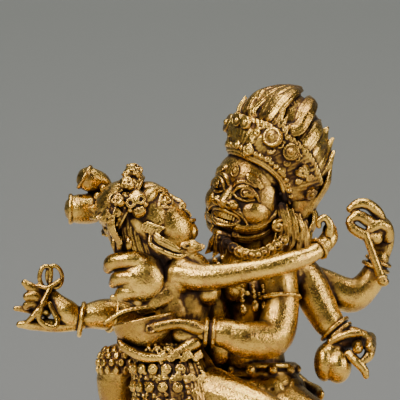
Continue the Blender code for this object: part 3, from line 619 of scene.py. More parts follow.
def her_hands(form):
    limb(form, [(84, -42, 252), (92, -37, 262), (93, -32, 270)], [9, 9, 7.5], flat=0.75,
         wide_way=(1, 0, -0.3))
    for k in range(4):
        near = -42 + 5.5 * k
        limb(form, [(92, near, 266), (93, near - 1, 275), (88, near - 2, 282),
                    (82, near - 2, 279), (82, near - 1, 274)],
             [4.6, 4.2, 3.8, 3.4, 2.8], sides=12)
    bangle(form, (74, -52, 246), (88, -40, 256), 0.55, 9.8, 2.0, 12)
    limb(form, [(40, 44, 244), (54, 40, 246), (66, 33, 247)], [10, 9, 5], flat=0.6)
    for k in range(4):
        high = 240 + 5 * k
        limb(form, [(58, 38, high), (70, 28, high + 1), (76, 18, high)], [4, 3.6, 2.8],
             sides=12)
    bangle(form, (-50, 36, 196), (-92, 24, 178), 0.2, 16.5, 2.2, 12)


cast_pieces.append(cast(
    "hands_and_attributes",
    (cup_and_hand, chopper_and_fist, noose_and_hand, drum_and_hand, staff_and_hand,
     lobed_thing_and_hand, her_hands),
    voxel=0.00027, most_faces=140000,
))


# His head
# A wrathful three-eyed face with bulging eyes, striped brows, bared teeth and a banded
# beard, modelled solid and chased after casting. The face looks further to the front than
# the crown and the hair do.
HIS_HEAD = ((-0.76, -0.63, 0.16), (0.32, 0.0, 0.95))
his_place = placer((21, 0, 303), HIS_HEAD)
his_turn = axes(*HIS_HEAD)
HIS_FACE = ((-0.52, -0.84, 0.10), (0.32, 0.0, 0.95))
face_place = placer((9, -4, 303), HIS_FACE)
face_turn = axes(*HIS_FACE)


def leaf(form, points, heart, width, strands=6, thick=1.7, tip=0.15):
    """A leaf of combed hair: strands side by side that swell apart and meet at the tip."""
    points = [Vector(p) for p in points]
    count = len(points)
    for j in range(strands):
        share = 2 * j / (strands - 1) - 1
        line = []
        for k, spot in enumerate(points):
            along = points[min(k + 1, count - 1)] - points[max(k - 1, 0)]
            out = (spot - heart).normalized()
            across = along.cross(out).normalized()
            swell = math.sin(math.pi * (0.22 + 0.78 * k / (count - 1)))
            spread = width * (tip + (1 - tip) * max(swell, 0.0) ** 0.8)
            line.append(spot + across * share * spread
                        + out * thick * 1.3 * (1 - share ** 2))
        limb(form, line, [thick * 1.1] * (count - 1) + [thick * 0.6], sides=8, spans=5)
    limb(form, points, [width * 0.7] * (count - 1) + [thick], flat=0.7,
         wide_way=(points[1] - points[0]).cross(points[0] - heart), sides=12, spans=4)


def curl(form, centre, out, up, size, turn_way, thick):
    """A lock that winds in on itself, seen face on."""
    place = placer(centre, (up, out))
    points = []
    for k in range(13):
        angle = turn_way * 0.62 * k
        reach = size * (1 - k / 15)
        points.append(place(reach * math.cos(angle), reach * math.sin(angle), 0))
    limb(form, points, [thick] * 12 + [thick * 1.3], sides=10, spans=2)


# Lines on his head, as forward, left and up of its centre: the hairline, the crown's lower
# band and its rim from the brow to the side, and the long leaves of hair behind them.
HAIR_LINE = ((38, 1, 39), (35, 16, 38), (22, 28, 34), (6, 36, 24), (-4, 38, 7))
BAND_LINE = ((37, 0, 46), (34, 18, 44), (21, 30, 40), (4, 37, 29), (-8, 39, 11))
RIM_LINE = ((38, 0, 73), (32, 24, 73), (16, 38, 67), (1, 44, 61), (-13, 48, 52),
            (-32, 43, 37), (-48, 33, 24))
SIDE_LEAVES = (
    ((0, 44, 56), (-8, 43, 70), (-22, 35, 84), (-36, 20, 89)),
    ((-13, 46, 46), (-23, 43, 62), (-38, 30, 74), (-43, 26, 84)),
    ((-27, 42, 35), (-35, 40, 50), (-46, 31, 63), (-49, 31, 75)),
    ((-43, 31, 20), (-47, 33, 36), (-50, 35, 50), (-51, 35, 63)),
    ((-45, 32, 5), (-50, 35, 20), (-52, 37, 33), (-51, 36, 48)),
)


def along_line(line, share):
    """The point at a share of the way along a short line of points."""
    at = share * (len(line) - 1)
    k = min(int(at), len(line) - 2)
    return Vector(line[k]).lerp(Vector(line[k + 1]), at - k)


def both_sides(line):
    """A line of head points from the far side, over the front, to the near side."""
    return [(f, -l, u) for f, l, u in reversed(line[1:])] + list(line)


def his_face(form):
    place = face_place
    turn = face_turn
    heart = place(0, 0, 0)
    ball(form, place(0, 0, 2), (33, 38, 43), HIS_FACE, sides=48, rings=32)
    ball(form, place(-14, 0, 6), (34, 37, 42), HIS_FACE, sides=40, rings=28)
    ball(form, place(4, 0, 20), (30, 33, 27), HIS_FACE, sides=44, rings=30)
    ball(form, place(9, 0, -24), (22, 25, 20), HIS_FACE, sides=32, rings=22)
    ball(form, place(17.5, 0, -23), (13, 18, 13), HIS_FACE, sides=32, rings=22)
    ball(form, place(22, 0, -41), (9, 12, 6.5), HIS_FACE)
    limb(form, [place(27, 0, 14), place(28.5, 0, 6), place(32.5, 0, -3), place(35, 0, -9)],
         [4, 5, 6.6, 7.2])
    for side in (-1, 1):
        out = turn @ Vector((0.84, 0.54 * side, 0.05))
        ball(form, place(33, 8.5 * side, -9.5), (7.5, 6.6, 5.6), HIS_FACE)
        ball(form, place(0, 14 * side, -22), (22, 22, 20), HIS_FACE, sides=32, rings=22)
        nostril = turn @ Vector((0.8, 0.28 * side, -0.55))
        ring(form, place(39.6, 7.8 * side, -11), (turn.col[1], nostril), (3.6, 3.1), 1.3,
             sides=18, tube=8)
        ball(form, place(24, 15.5 * side, 6), (9.5, 11, 6.8), HIS_FACE, sides=30, rings=22)
        limb(form, [place(33.5, 5 * side, 2), place(34, 10 * side, 9.5),
                    place(30.5, 19 * side, 11.6), place(25.4, 26.5 * side, 7),
                    place(21.4, 30 * side, 1.5)], [1.4, 2.1, 2.3, 1.9, 1.1], sides=12)
        limb(form, [place(33.5, 5 * side, 2), place(32.6, 11 * side, -1),
                    place(29.4, 19 * side, -1.6), place(25, 25.5 * side, 1.5)],
             [1.2, 1.5, 1.6, 1.2], sides=12)
        ring(form, place(32.6, 17.5 * side, 5.6), (turn.col[2], out), (3.9, 3.9), 0.75,
             sides=22, tube=8)
        ball(form, place(31.8, 17.2 * side, 5.6), (2.0, 2.0, 2.0), HIS_FACE, sides=12,
             rings=8)
        leaf(form, [place(29.5, 15 * side, 24), place(27, 20 * side, 22.5),
                    place(23.5, 25 * side, 19.5), place(20.5, 28.5 * side, 15)], heart, 5.4,
             8, 0.75, 0.5)
        limb(form, [place(32, 3 * side, 9), place(33, 7 * side, 14),
                    place(31.5, 14 * side, 16.5), place(26, 24 * side, 14.5)],
             [2.2, 2.6, 2.2, 1.4], sides=12)
        ball(form, place(6, 20 * side, -10), (22.5, 17.5, 18), HIS_FACE, sides=36, rings=24)
        limb(form, [place(35, 9 * side, -6), place(30, 14 * side, -11),
                    place(25, 19 * side, -17.5), place(16, 27 * side, -19),
                    place(6, 34 * side, -15)], [1.2, 1.5, 1.4, 1.2, 0.9], sides=12)
        leaf(form, [place(24, 15 * side, -31), place(17, 24 * side, -30),
                    place(8, 32 * side, -24), place(-2, 37 * side, -12),
                    place(-6, 38 * side, 2)], place(0, 0, -6), 5.6, 6, 1.3, 0.6)
        leaf(form, [place(18, 14 * side, -41), place(10, 24 * side, -39),
                    place(1, 33 * side, -31), place(-6, 38 * side, -20)],
             place(0, 0, -6), 5, 5, 1.3, 0.5)
        for k in range(4):
            curl(form, place(22 - 9 * k, (15 + 7 * k) * side, -37 + 3.4 * k), out,
                 turn.col[2], 3.8, side, 1.3)
        limb(form, [place(-2, 38 * side, 14), place(-10, 42 * side, 20),
                    place(-20, 42 * side, 14), place(-23, 42 * side, 0),
                    place(-17, 43 * side, -12), place(-14, 43 * side, -22)],
             [2.4, 3, 3.2, 3.2, 3.2, 2.8], sides=14)
        limb(form, [place(-4, 39 * side, 4), place(-12, 41 * side, 4),
                    place(-13, 41 * side, -8), place(-9, 41 * side, -16)],
             [2, 2, 2, 2], sides=12)
        ring(form, place(-12, 43 * side, -28), (turn.col[0], turn.col[1]), (6, 6.5), 1.9)
        ball(form, place(-12, 43 * side, -28), (3.4, 3, 3.4), HIS_FACE)
        leaf(form, [place(34, 8 * side, -13.5), place(29.5, 15 * side, -15.5),
                    place(25, 20.5 * side, -19), place(21, 24 * side, -24)], heart, 1.7, 3,
             0.95, 0.3)
        leaf(form, [place(27, 4 * side, -44), place(27, 6 * side, -52),
                    place(24, 8 * side, -59), place(26, 10 * side, -64)],
             place(0, 0, -36), 3.4, 4, 1.2, 0.2)
        for k in range(3):
            curl(form, place(12 - 13 * k, (28 + 5 * k) * side, 29 - 7 * k), out, turn.col[2],
                 2.6, side, 0.7)
    lips = []
    for k in range(28):
        angle = 2 * math.pi * k / 28
        side = 16.4 * math.sin(angle)
        rise = -25.4 + (7.6 + 1.0 * math.cos(angle)) * math.cos(angle)
        lips.append(place(35.4 - 0.04 * side * side, side, rise + 0.010 * side * side))
    limb(form, lips + lips[:1], [1.8] * 29, sides=12, spans=2)
    for k in range(13):
        side = (k - 6) * 2.3
        depth = 34.4 - 0.04 * side * side
        limb(form, [place(depth, side, -19), place(depth, side, -24.4)], [1.15, 1.0],
             sides=8, spans=2)
        limb(form, [place(depth - 0.6, side, -31.6), place(depth - 0.4, side, -27)],
             [1.15, 0.95], sides=8, spans=2)
    leaf(form, [place(28, 0, -44), place(28, 0, -51), place(25, 0, -59), place(27, 0, -65)],
         place(0, 0, -36), 3.4, 4, 1.2, 0.2)
    ring(form, place(34.4, 0, 24), (turn.col[2], turn.col[0]), (5.6, 4.0), 1.1, sides=22,
         tube=8)
    ball(form, place(33.6, 0, 24), (3, 2.8, 3.8), HIS_FACE)
    hair_edge = [his_place(*p) for p in both_sides(HAIR_LINE)]
    limb(form, hair_edge, [3.4] * len(hair_edge), sides=12)
    ball(form, his_place(4, 0, 26), (32, 33, 24), HIS_HEAD, sides=40, rings=26)
    for k in range(15):
        for side in (-1, 1):
            spot = along_line(HAIR_LINE, k / 14)
            top = along_line(BAND_LINE, k / 14)
            spot.y *= side
            top.y *= side
            limb(form, [his_place(*spot), his_place(*spot.lerp(top, 0.6))], [1.2, 1.5],
                 sides=8, spans=2)


cast_pieces.append(cast("his_head", (his_face,), voxel=0.00022, most_faces=150000))


# His crown and flaming hair
# A tall tiara of leaves with small skulls and ringed bosses between a beaded band and a
# rope rim, and behind it hair combed up into long leaves and one large swirl.
def skull(form, centre, facing, size):
    """A small skull with ringed eye sockets, cheeks and a toothed jaw."""
    place = placer(centre, facing)
    ball(form, place(0, 0, size * 0.25), (size * 0.85, size * 0.85, size * 0.85), facing)
    ball(form, place(size * 0.25, 0, -size * 0.6), (size * 0.6, size * 0.5, size * 0.45),
         facing)
    turn = axes(*facing)
    for side in (-1, 1):
        ring(form, place(size * 0.75, size * 0.38 * side, size * 0.12),
             (turn.col[1], turn.col[0]), (size * 0.26, size * 0.28), size * 0.12,
             sides=16, tube=8)
        ball(form, place(size * 0.45, size * 0.55 * side, -size * 0.3),
             (size * 0.25, size * 0.25, size * 0.2), facing, sides=10, rings=8)
    for k in range(4):
        side = (k - 1.5) * size * 0.2
        limb(form, [place(size * 0.78, side, -size * 0.45),
                    place(size * 0.76, side, -size * 0.75)], [size * 0.09] * 2, sides=8,
             spans=1)


def boss(form, centre, out, up, size):
    """A round flower boss: a disc, a ringed edge and a bead in the middle."""
    facing = (up, out)
    place = placer(centre, facing)
    ball(form, place(0, 0, 0), (size, size, size * 0.5), facing)
    ring(form, place(0, 0, size * 0.3), facing, (size * 0.8, size * 0.8), size * 0.17,
         sides=20, tube=8)
    ball(form, place(0, 0, size * 0.42), (size * 0.34,) * 3, facing, sides=12, rings=8)


def bead_string(form, points, size, spacing):
    """Beads along a hanging string."""
    route = smooth_route(points, [1] * len(points), 24)
    walked = 0.0
    last = route[0][0]
    ball(form, last, (size,) * 3, sides=10, rings=8)
    for spot, _ in route[1:]:
        walked += (spot - last).length
        last = spot
        if walked >= spacing:
            ball(form, spot, (size,) * 3, sides=10, rings=8)
            walked = 0.0


def rope(form, points, heart, reach, thick, pitch):
    """Two strands laid round each other along a line."""
    route = smooth_route(points, [1] * len(points), 16)
    walked = 0.0
    strands = ([], [])
    for k, (spot, _) in enumerate(route):
        if k:
            walked += (spot - route[k - 1][0]).length
        along = (route[min(k + 1, len(route) - 1)][0] - route[max(k - 1, 0)][0]).normalized()
        out = (spot - heart).normalized()
        across = along.cross(out).normalized()
        for half, strand in enumerate(strands):
            angle = 2 * math.pi * walked / pitch + math.pi * half
            strand.append(spot + (out * math.cos(angle) + across * math.sin(angle)) * reach)
    for strand in strands:
        limb(form, strand, [thick] * len(strand), sides=8, spans=1)


TIARA_BOSSES = ((0.05, 0.80, 7.0), (0.29, 0.70, 10.5), (0.52, 0.62, 9.0), (0.95, 0.55, 7.4))
TIARA_SKULL = 0.72


def his_crown(form):
    place = his_place
    heart = place(-14, 0, 40)
    low_line = [place(*p) for p in both_sides(BAND_LINE)]
    high_line = [place(*p) for p in both_sides(RIM_LINE)]
    limb(form, low_line, [5.4] * len(low_line), sides=14)
    for rise in (-5.2, 5.2):
        limb(form, [p + his_turn.col[2] * rise + (p - heart).normalized() * 3.4
                    for p in low_line], [1.5] * len(low_line), sides=10)
    bead_string(form, [p + (p - heart).normalized() * 5.0 for p in low_line], 2.9, 5.6)
    limb(form, high_line, [3.4] * len(high_line), sides=12)
    rope(form, [p + (p - heart).normalized() * 1.5 for p in high_line], heart, 2.1, 2.0, 11)
    low = smooth_route(low_line, [1] * len(low_line), 12)
    high = smooth_route(high_line, [1] * len(high_line), 8)
    for k in range(0, len(low), 2):
        bottom = low[k][0]
        top = high[k][0]
        middle = bottom.lerp(top, 0.5)
        out = (middle - heart).normalized()
        limb(form, [bottom, middle + out, top], [6, 6.5, 4.5], sides=12)

    def on_tiara(share, rise, side):
        at = int(round((len(low) - 1) * (0.5 + 0.5 * share * side)))
        spot = low[at][0].lerp(high[at][0], rise)
        out = (spot - heart).normalized()
        up = (high[at][0] - low[at][0]).normalized()
        return spot + out * 7.4, out, up

    for side in (-1, 1):
        for share, rise, size in TIARA_BOSSES:
            boss(form, *on_tiara(share, rise, side), size)
        spot, out, up = on_tiara(TIARA_SKULL, 0.5, side)
        skull(form, spot, (out, up), 8)
        for share in (0.16, 0.40, 0.60, 0.82):
            spot, out, up = on_tiara(share, 0.62, side)
            curl(form, spot, out, up, 4.6, side, 1.2)
            spot, out, up = on_tiara(share, 0.3, side)
            curl(form, spot, out, up, 3.6, -side, 1.1)
        for share, size in ((0.22, 4.0), (0.46, 4.0), (0.66, 4.0)):
            spot, out, up = on_tiara(share, 0.04, side)
            boss(form, spot - out * 2, out, up, size)
    spot, out, up = on_tiara(0, 0.02, 1)
    boss(form, spot - out * 1.5, out, up, 4.4)
    spot, out, up = on_tiara(0.2, 0.02, 1)
    boss(form, spot - out * 1.2, out, up, 6.2)


def his_hair(form):
    place = his_place
    heart = place(-16, 0, 40)
    ball(form, place(-16, 0, 48), (42, 44, 56), HIS_HEAD, sides=40, rings=28)
    ball(form, place(-6, 0, 77), (32, 38, 35), HIS_HEAD, sides=36, rings=24)
    for side in (-1, 1):
        ball(form, place(-36, 15 * side, 14), (23, 25, 43), HIS_HEAD)
        for line in SIDE_LEAVES:
            leaf(form, [place(f, l * side, u) for f, l, u in line], heart, 8.5, 7, 1.6)
        for k in range(4):
            centre = place(-4 - 10 * k, 38 * side, -22 - 6 * (k % 2))
            out = his_turn @ Vector((-0.3 * k + 0.2, side, 0))
            curl(form, centre, out, his_turn.col[2], 6.5, side, 2.2)
            leaf(form, [place(-4 - 11 * k, 34 * side, 0 - 4 * k),
                        place(-10 - 11 * k, 40 * side, -16 - 3 * k),
                        place(-17 - 10 * k, 38 * side, -30 - 3 * k),
                        place(-15 - 10 * k, 37 * side, -42 - 2 * k)], heart, 4.6, 4, 1.5)
        swirl_out = his_turn @ Vector((0.42, 0.62 * side, 0.66))
        swirl = placer(place(14, 21 * side, 88), (his_turn.col[2], swirl_out))
        ball(form, swirl(0, 0, -9), (16, 14, 8), (his_turn.col[2], swirl_out))
        for ring_size in (3.0, 6.4, 9.8, 13.2, 16.6):
            dome = 1.5 - (ring_size / 16.6) ** 2 * 5.5
            facing = (his_turn.col[2], swirl_out)
            ring(form, swirl(0, 0, dome), facing, (ring_size * 1.1, ring_size * 0.86), 1.7,
                 sides=36, tube=8)
        leaf(form, [place(26, 6 * side, 74), place(25, 12 * side, 84),
                    place(14, 7 * side, 103), place(-2, 3 * side, 113),
                    place(-16, 2 * side, 116)], heart, 7.5, 6, 1.6, 0.5)
        leaf(form, [place(24, 20 * side, 73), place(6, 38 * side, 78),
                    place(-4, 35 * side, 95), place(-18, 22 * side, 106),
                    place(-26, 8 * side, 109)], heart, 7.5, 6, 1.6, 0.4)
        leaf(form, [place(26, -14 * side, 72), place(26, -20 * side, 84),
                    place(17, -20 * side, 100), place(0, -12 * side, 111),
                    place(-14, -5 * side, 115)], heart, 7, 6, 1.6, 0.5)
        for k in range(3):
            leaf(form, [place(25 - 3 * k, (24 + 5 * k) * side, 68 - 2 * k),
                        place(26 - 3 * k, (31 + 3 * k) * side, 79 - 4 * k),
                        place(21 - 3 * k, (32 + 3 * k) * side, 93 - 7 * k)],
                 heart, 3.2, 3, 1.5)
    for row in range(4):
        for k in range(5):
            angle = math.radians(180 + 22 * (k - 2) + 11 * (row % 2))
            fan = math.cos(angle)
            side = math.sin(angle)
            rise = -34 + 26 * row
            narrow = 1 - 0.05 * row * row
            leaf(form, [place(-16 + 40 * fan * narrow, 42 * side * narrow, rise),
                        place(-16 + 46 * fan * narrow, 48 * side * narrow, rise + 14),
                        place(-16 + 48 * fan * narrow, 50 * side * narrow, rise + 28),
                        place(-14 + 42 * fan * narrow, 44 * side * narrow, rise + 42)],
                 heart, 9, 7, 1.6)


cast_pieces.append(cast(
    "his_crown_and_hair", (his_crown, his_hair), voxel=0.00025, most_faces=180000,
))


# Her head and hair
# The consort throws her head back to look up at him. A band of small skulls holds her hair,
# which falls behind her in long combed strands, and heavy earrings hang by her jaw.
HER_HEAD = ((0.72, 0.06, 0.69), (-0.69, 0.0, 0.73))
her_place = placer((-87, -45, 281), HER_HEAD)
her_turn = axes(*HER_HEAD)


def her_face(form):
    place = her_place
    heart = place(0, 0, 0)
    ball(form, place(-1, 0, 2), (31, 27, 36), HER_HEAD, sides=36, rings=24)
    ball(form, place(8, 0, -16), (24, 24, 31), HER_HEAD, sides=36, rings=26)
    limb(form, [place(26, 0, 12), place(29, 0, -1), place(31, 0, -9)], [4, 5, 6])
    limb(form, [place(21, 0, -22), place(19, 0, -36)], [10, 10], sides=24)
    ball(form, place(12, 0, 14), (19, 20, 20), HER_HEAD, sides=32, rings=22)
    for side in (-1, 1):
        out = her_turn @ Vector((0.8, 0.6 * side, 0))
        ball(form, place(31, 6 * side, -13), (5.5, 4.6, 4.4), HER_HEAD)
        ball(form, place(18, 13 * side, 2), (9, 9, 7), HER_HEAD, sides=24, rings=18)
        limb(form, [place(29, 4 * side, 1), place(27, 11 * side, 7.5),
                    place(22, 18 * side, 8.5), place(14, 24 * side, 3)],
             [1.4, 1.9, 1.9, 1.4], sides=12)
        limb(form, [place(29, 5 * side, -1), place(26, 12 * side, -5),
                    place(21, 19 * side, -4.5), place(14, 24 * side, 2)],
             [1.3, 1.7, 1.7, 1.3], sides=12)
        ring(form, place(25.4, 18 * side, 1.6), (her_turn.col[2], out), (3.5, 3.5), 0.9,
             sides=18, tube=8)
        leaf(form, [place(30, 3 * side, 9), place(28, 9 * side, 14),
                    place(22, 16 * side, 18), place(13, 22 * side, 19)],
             heart, 3.6, 4, 1.4, 0.3)
        ball(form, place(9, 10 * side, -12), (19, 14, 17), HER_HEAD, sides=30, rings=22)
        ball(form, place(9, 12 * side, 17), (17, 15, 10), HER_HEAD)
        limb(form, [place(30, 8 * side, -10), place(27, 12 * side, -15),
                    place(21, 16 * side, -19), place(13, 20 * side, -20)],
             [1.5, 2, 2, 1.4], sides=12)
        for k in range(9):
            spot = place(6 - 0.6 * k, 24.5 * side, 24 - 4.2 * k)
            limb(form, [spot, spot + her_turn @ Vector((5, -1.2 * side, -1.5))], [1.5, 1.3],
                 sides=8, spans=2)
        leaf(form, [place(-11, 25 * side, -12), place(-11, 29 * side, -22),
                    place(-7, 30 * side, -34), place(-2, 29 * side, -46)], heart, 5.4, 5,
             1.5, 0.45)
        limb(form, [place(-9, 26 * side, -10), place(-18, 29 * side, -18),
                    place(-15, 32 * side, -32), place(-8, 32 * side, -46),
                    place(-1, 30 * side, -50)], [2.0, 2.5, 2.4, 2.4, 2], sides=14)
        limb(form, [place(4, 29 * side, -42), place(10, 31 * side, -49),
                    place(17, 29 * side, -56)], [4, 7, 3], flat=0.45,
             wide_way=(0.6, 0, 0.8))
        for inset in (0, 3.2):
            limb(form, [place(3, 33 * side, -42), place(8 + inset, 34 * side, -43 - inset),
                        place(14, 33.5 * side, -50 - inset), place(19, 31 * side, -57),
                        place(11, 34 * side, -55 + inset), place(3, 33 * side, -44)],
                 [1.0] * 6, sides=8)
        ball(form, place(10, 34.5 * side, -49), (3, 2.4, 3), HER_HEAD)
        limb(form, [place(31, 8.4 * side, -18), place(32, 8.6 * side, -22.5),
                    place(31, 8.4 * side, -27)], [1.7, 1.4, 0.7], sides=10)
    lips = []
    for k in range(20):
        angle = 2 * math.pi * k / 20
        side = 10.5 * math.sin(angle)
        rise = -24.5 + 6.8 * math.cos(angle)
        lips.append(place(31.2 - 0.055 * side * side, side, rise))
    limb(form, lips + lips[:1], [2.2] * 21, sides=10, spans=2)
    for k in range(7):
        side = (k - 3) * 2.5
        depth = 29.8 - 0.055 * side * side
        limb(form, [place(depth, side, -20), place(depth, side, -23.5)], [1.15, 0.95],
             sides=8, spans=2)


def her_crown(form):
    place = her_place
    heart = place(-10, 0, 10)
    for side in (-1, 1):
        out = her_turn @ Vector((0.05, side, 0.1))
        up = her_turn @ Vector((0.41, 0, 0.91))
        skull(form, place(-1, 24 * side, 20), (out, up), 14)
        for k in range(7):
            low = place(-16 + 1.4 * k, 28.5 * side, -2 - 2.6 * k)
            limb(form, [low, low + her_turn @ Vector((5, 1.6 * side, 2.4)),
                        low + her_turn @ Vector((11, 0, 1))], [1.1, 1.3, 1.0], sides=8,
                 spans=2)
    band = (her_turn @ Vector((1, 0, 0.35)), her_turn @ Vector((-0.35, 0, 1)))
    at_band = placer(place(-8, 0, 27), band)
    ball(form, place(-12, 0, 32), (27, 25, 22), HER_HEAD)
    for rise in (-4, 4):
        ring(form, at_band(0, 0, rise), band, (33, 29), 1.5, sides=48, tube=8)
    ring(form, at_band(0, 0, 0), band, (31.5, 27.5), 3.8, sides=48, tube=8)
    for k in range(30):
        angle = math.radians(12 * k)
        ball(form, at_band(34 * math.cos(angle), 30 * math.sin(angle), 0), (2.2,) * 3,
             sides=8, rings=6)
    for k in range(-4, 5):
        angle = math.radians(30 * k)
        forward = math.cos(angle)
        left = math.sin(angle)
        sink = 11 * (1 - forward)
        out = her_turn @ Vector((forward, left, 0.35))
        up = her_turn.col[2]
        skull(form, place(-12 + 34 * forward, 31 * left, 46 - sink), (out, up), 8)
        half = math.radians(30 * k + 15)
        forward = math.cos(half)
        left = math.sin(half)
        sink = 11 * (1 - forward)
        spot = place(-12 + 34 * forward, 31 * left, 41 - sink)
        boss(form, spot, (spot - heart).normalized(), up, 4.6)
        curl(form, place(-12 + 34 * forward, 31 * left, 51 - sink),
             (spot - heart).normalized(), up, 3.8, 1 if k > 0 else -1, 1.2)


def her_hair(form):
    place = her_place
    heart = place(6, 0, 0)
    fall = [(-108, -45, 292), (-106, -45, 266), (-98, -44, 240), (-86, -42, 212)]
    width = [19, 18, 17, 13]
    limb(form, fall, width)
    limb(form, [(-88, -44, 262), (-76, -44, 240), (-68, -44, 222)], [20, 17, 14])
    for k in range(15):
        angle = math.radians(62 + 236 * k / 14)
        way = Vector((math.cos(angle), math.sin(angle), 0))
        start = her_turn @ Vector((-30, 0, 30)) + Vector((-87, -45, 281))
        line = [start + way * 16]
        line += [Vector(spot) + way * (reach + 2) for spot, reach in zip(fall, width)]
        leaf(form, line, Vector((-92, -45, 255)), 3.4, 4, 1.25, 0.6)
    for k in range(9):
        side = (k - 4) * 6.4
        drop = 9 * abs(k - 4) / 4
        leaf(form, [place(6, side * 0.7, 44 - drop), place(-16, side * 1.05, 44 - drop),
                    place(-34, side * 1.1, 22), place(-40, side, 2)], heart, 4.4, 4, 1.5, 0.6)


cast_pieces.append(cast(
    "her_head_and_hair", (her_face, her_crown, her_hair), voxel=0.00025, most_faces=160000,
))


# Bone apron, skirts and necklaces
# Strings of carved bone beads hang over her hips in loops and tassels, and beads with
# ringed bosses cross his chest. They are cast on, not loose.
def her_apron(form):
    limb(form, [(-70, -42, 150), (-60, -46, 120), (-54, -50, 94)], [31, 37, 38], sides=32)
    count = 22
    for k in range(count):
        angle = math.radians(80 + 200 * k / (count - 1) + 30)
        out_x = math.cos(angle)
        out_y = math.sin(angle)
        leaf(form, [(-68 + 29 * out_x, -43 + 29 * out_y, 154),
                    (-60 + 38 * out_x, -47 + 37 * out_y, 122),
                    (-56 + 40 * out_x, -50 + 39 * out_y, 96),
                    (-54 + 36 * out_x, -50 + 35 * out_y, 64 + 7 * (k % 2))],
             Vector((-58, -46, 108)), 5.6, 4, 1.7, 0.5)
        if k % 3 == 0:
            bead_string(form, [(-64 + 38 * out_x, -45 + 38 * out_y, 138),
                               (-60 + 43 * out_x, -47 + 42 * out_y, 122),
                               (-56 + 45 * out_x, -50 + 44 * out_y, 96),
                               (-54 + 40 * out_x, -50 + 39 * out_y, 66)], 2.2, 4.8)
        way = Vector((out_x, out_y, 0))
        for level in (143, 121, 104, 86):
            spot = Vector((-62 + 0.10 * (150 - level), -46, level))
            reach = 38 + 0.14 * (150 - level)
            curl(form, spot + way * reach + Vector((0, 0, 3 * (k % 2))), way,
                 Vector((0, 0, 1)), 4.4, 1 if k % 2 else -1, 1.3)
    for row, (level, reach) in enumerate(((150, 34), (132, 40), (114, 43), (98, 45))):
        shift = (150 - level) * 0.22
        for k in range(10):
            start = math.radians(100 + 19 * k + 9 * (row % 2))
            stop = math.radians(100 + 19 * (k + 1) + 9 * (row % 2))
            loop = []
            for t in range(5):
                angle = start + (stop - start) * t / 4
                sag = 11 * math.sin(math.pi * t / 4)
                loop.append((-68 + shift + reach * math.cos(angle),
                             -43 - shift * 0.4 + reach * math.sin(angle), level - sag))
            bead_string(form, loop, 2.3, 4.6)
            out = Vector((math.cos(start), math.sin(start), 0))
            boss(form, Vector(loop[0]) + out * 1.5, out, Vector((0, 0, 1)), 5.4)
            limb(form, [Vector(loop[2]) + Vector((0, 0, -1)),
                        Vector(loop[2]) + Vector((0, 0, -6)),
                        Vector(loop[2]) + Vector((0, 0, -11))], [1.4, 3.0, 1.2], sides=10,
                 spans=2)


def his_jewels(form):
    for k in range(11):
        share = k / 10
        spot = Vector((-16 + 62 * share, -26 - 16 * math.sin(math.pi * share) - 3 * share,
                       262 - 16 * math.sin(math.pi * share) - 2 * share))
        boss(form, spot, Vector((-0.3 + 0.5 * share, -1, -0.1)), Vector((0, 0, 1)), 6)
    bead_string(form, [(-22, -32, 240), (0, -46, 214), (18, -44, 205), (40, -40, 214)],
                2.8, 5.6)
    for start in ((16, -47, 214), (26, -46, 214), (4, -46, 210)):
        bead_string(form, [start, (start[0] + 2, start[1] - 1, start[2] - 14)], 2.4, 4.8)
        ball(form, (start[0] + 2, start[1] - 1, start[2] - 20), (4, 4, 6))


cast_pieces.append(cast(
    "apron_and_jewels", (her_apron, his_jewels), voxel=0.00029, most_faces=120000,
))

for piece in cast_pieces:
    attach(piece, "root")
    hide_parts("mahakala_and_consort")


# Lotus plinth
# A low rounded pedestal of its own, cast and gilt, with one row of raised petals between a
# beaded rim and a plain foot ring.
SQUARENESS = 3.0
PETALS = 26


def rounded_oval(half_x, half_y, count):
    """Points evenly along a rounded oval, each with its way out."""
    fine = 40 * count
    outline = []
    for k in range(fine + 1):
        angle = 2 * math.pi * k / fine
        across = math.copysign(abs(math.cos(angle)) ** (2 / SQUARENESS), math.cos(angle))
        away = math.copysign(abs(math.sin(angle)) ** (2 / SQUARENESS), math.sin(angle))
        outline.append(Vector((half_x * across, half_y * away, 0)))
    walked = [0.0]
    for a, b in zip(outline, outline[1:]):
        walked.append(walked[-1] + (b - a).length)
    points = []
    k = 0
    for n in range(count):
        while walked[k + 1] < walked[-1] * n / count:
            k += 1
        way = outline[k + 1] - outline[k]
        points.append((outline[k], Vector((way.y, -way.x, 0)).normalized()))
    return points


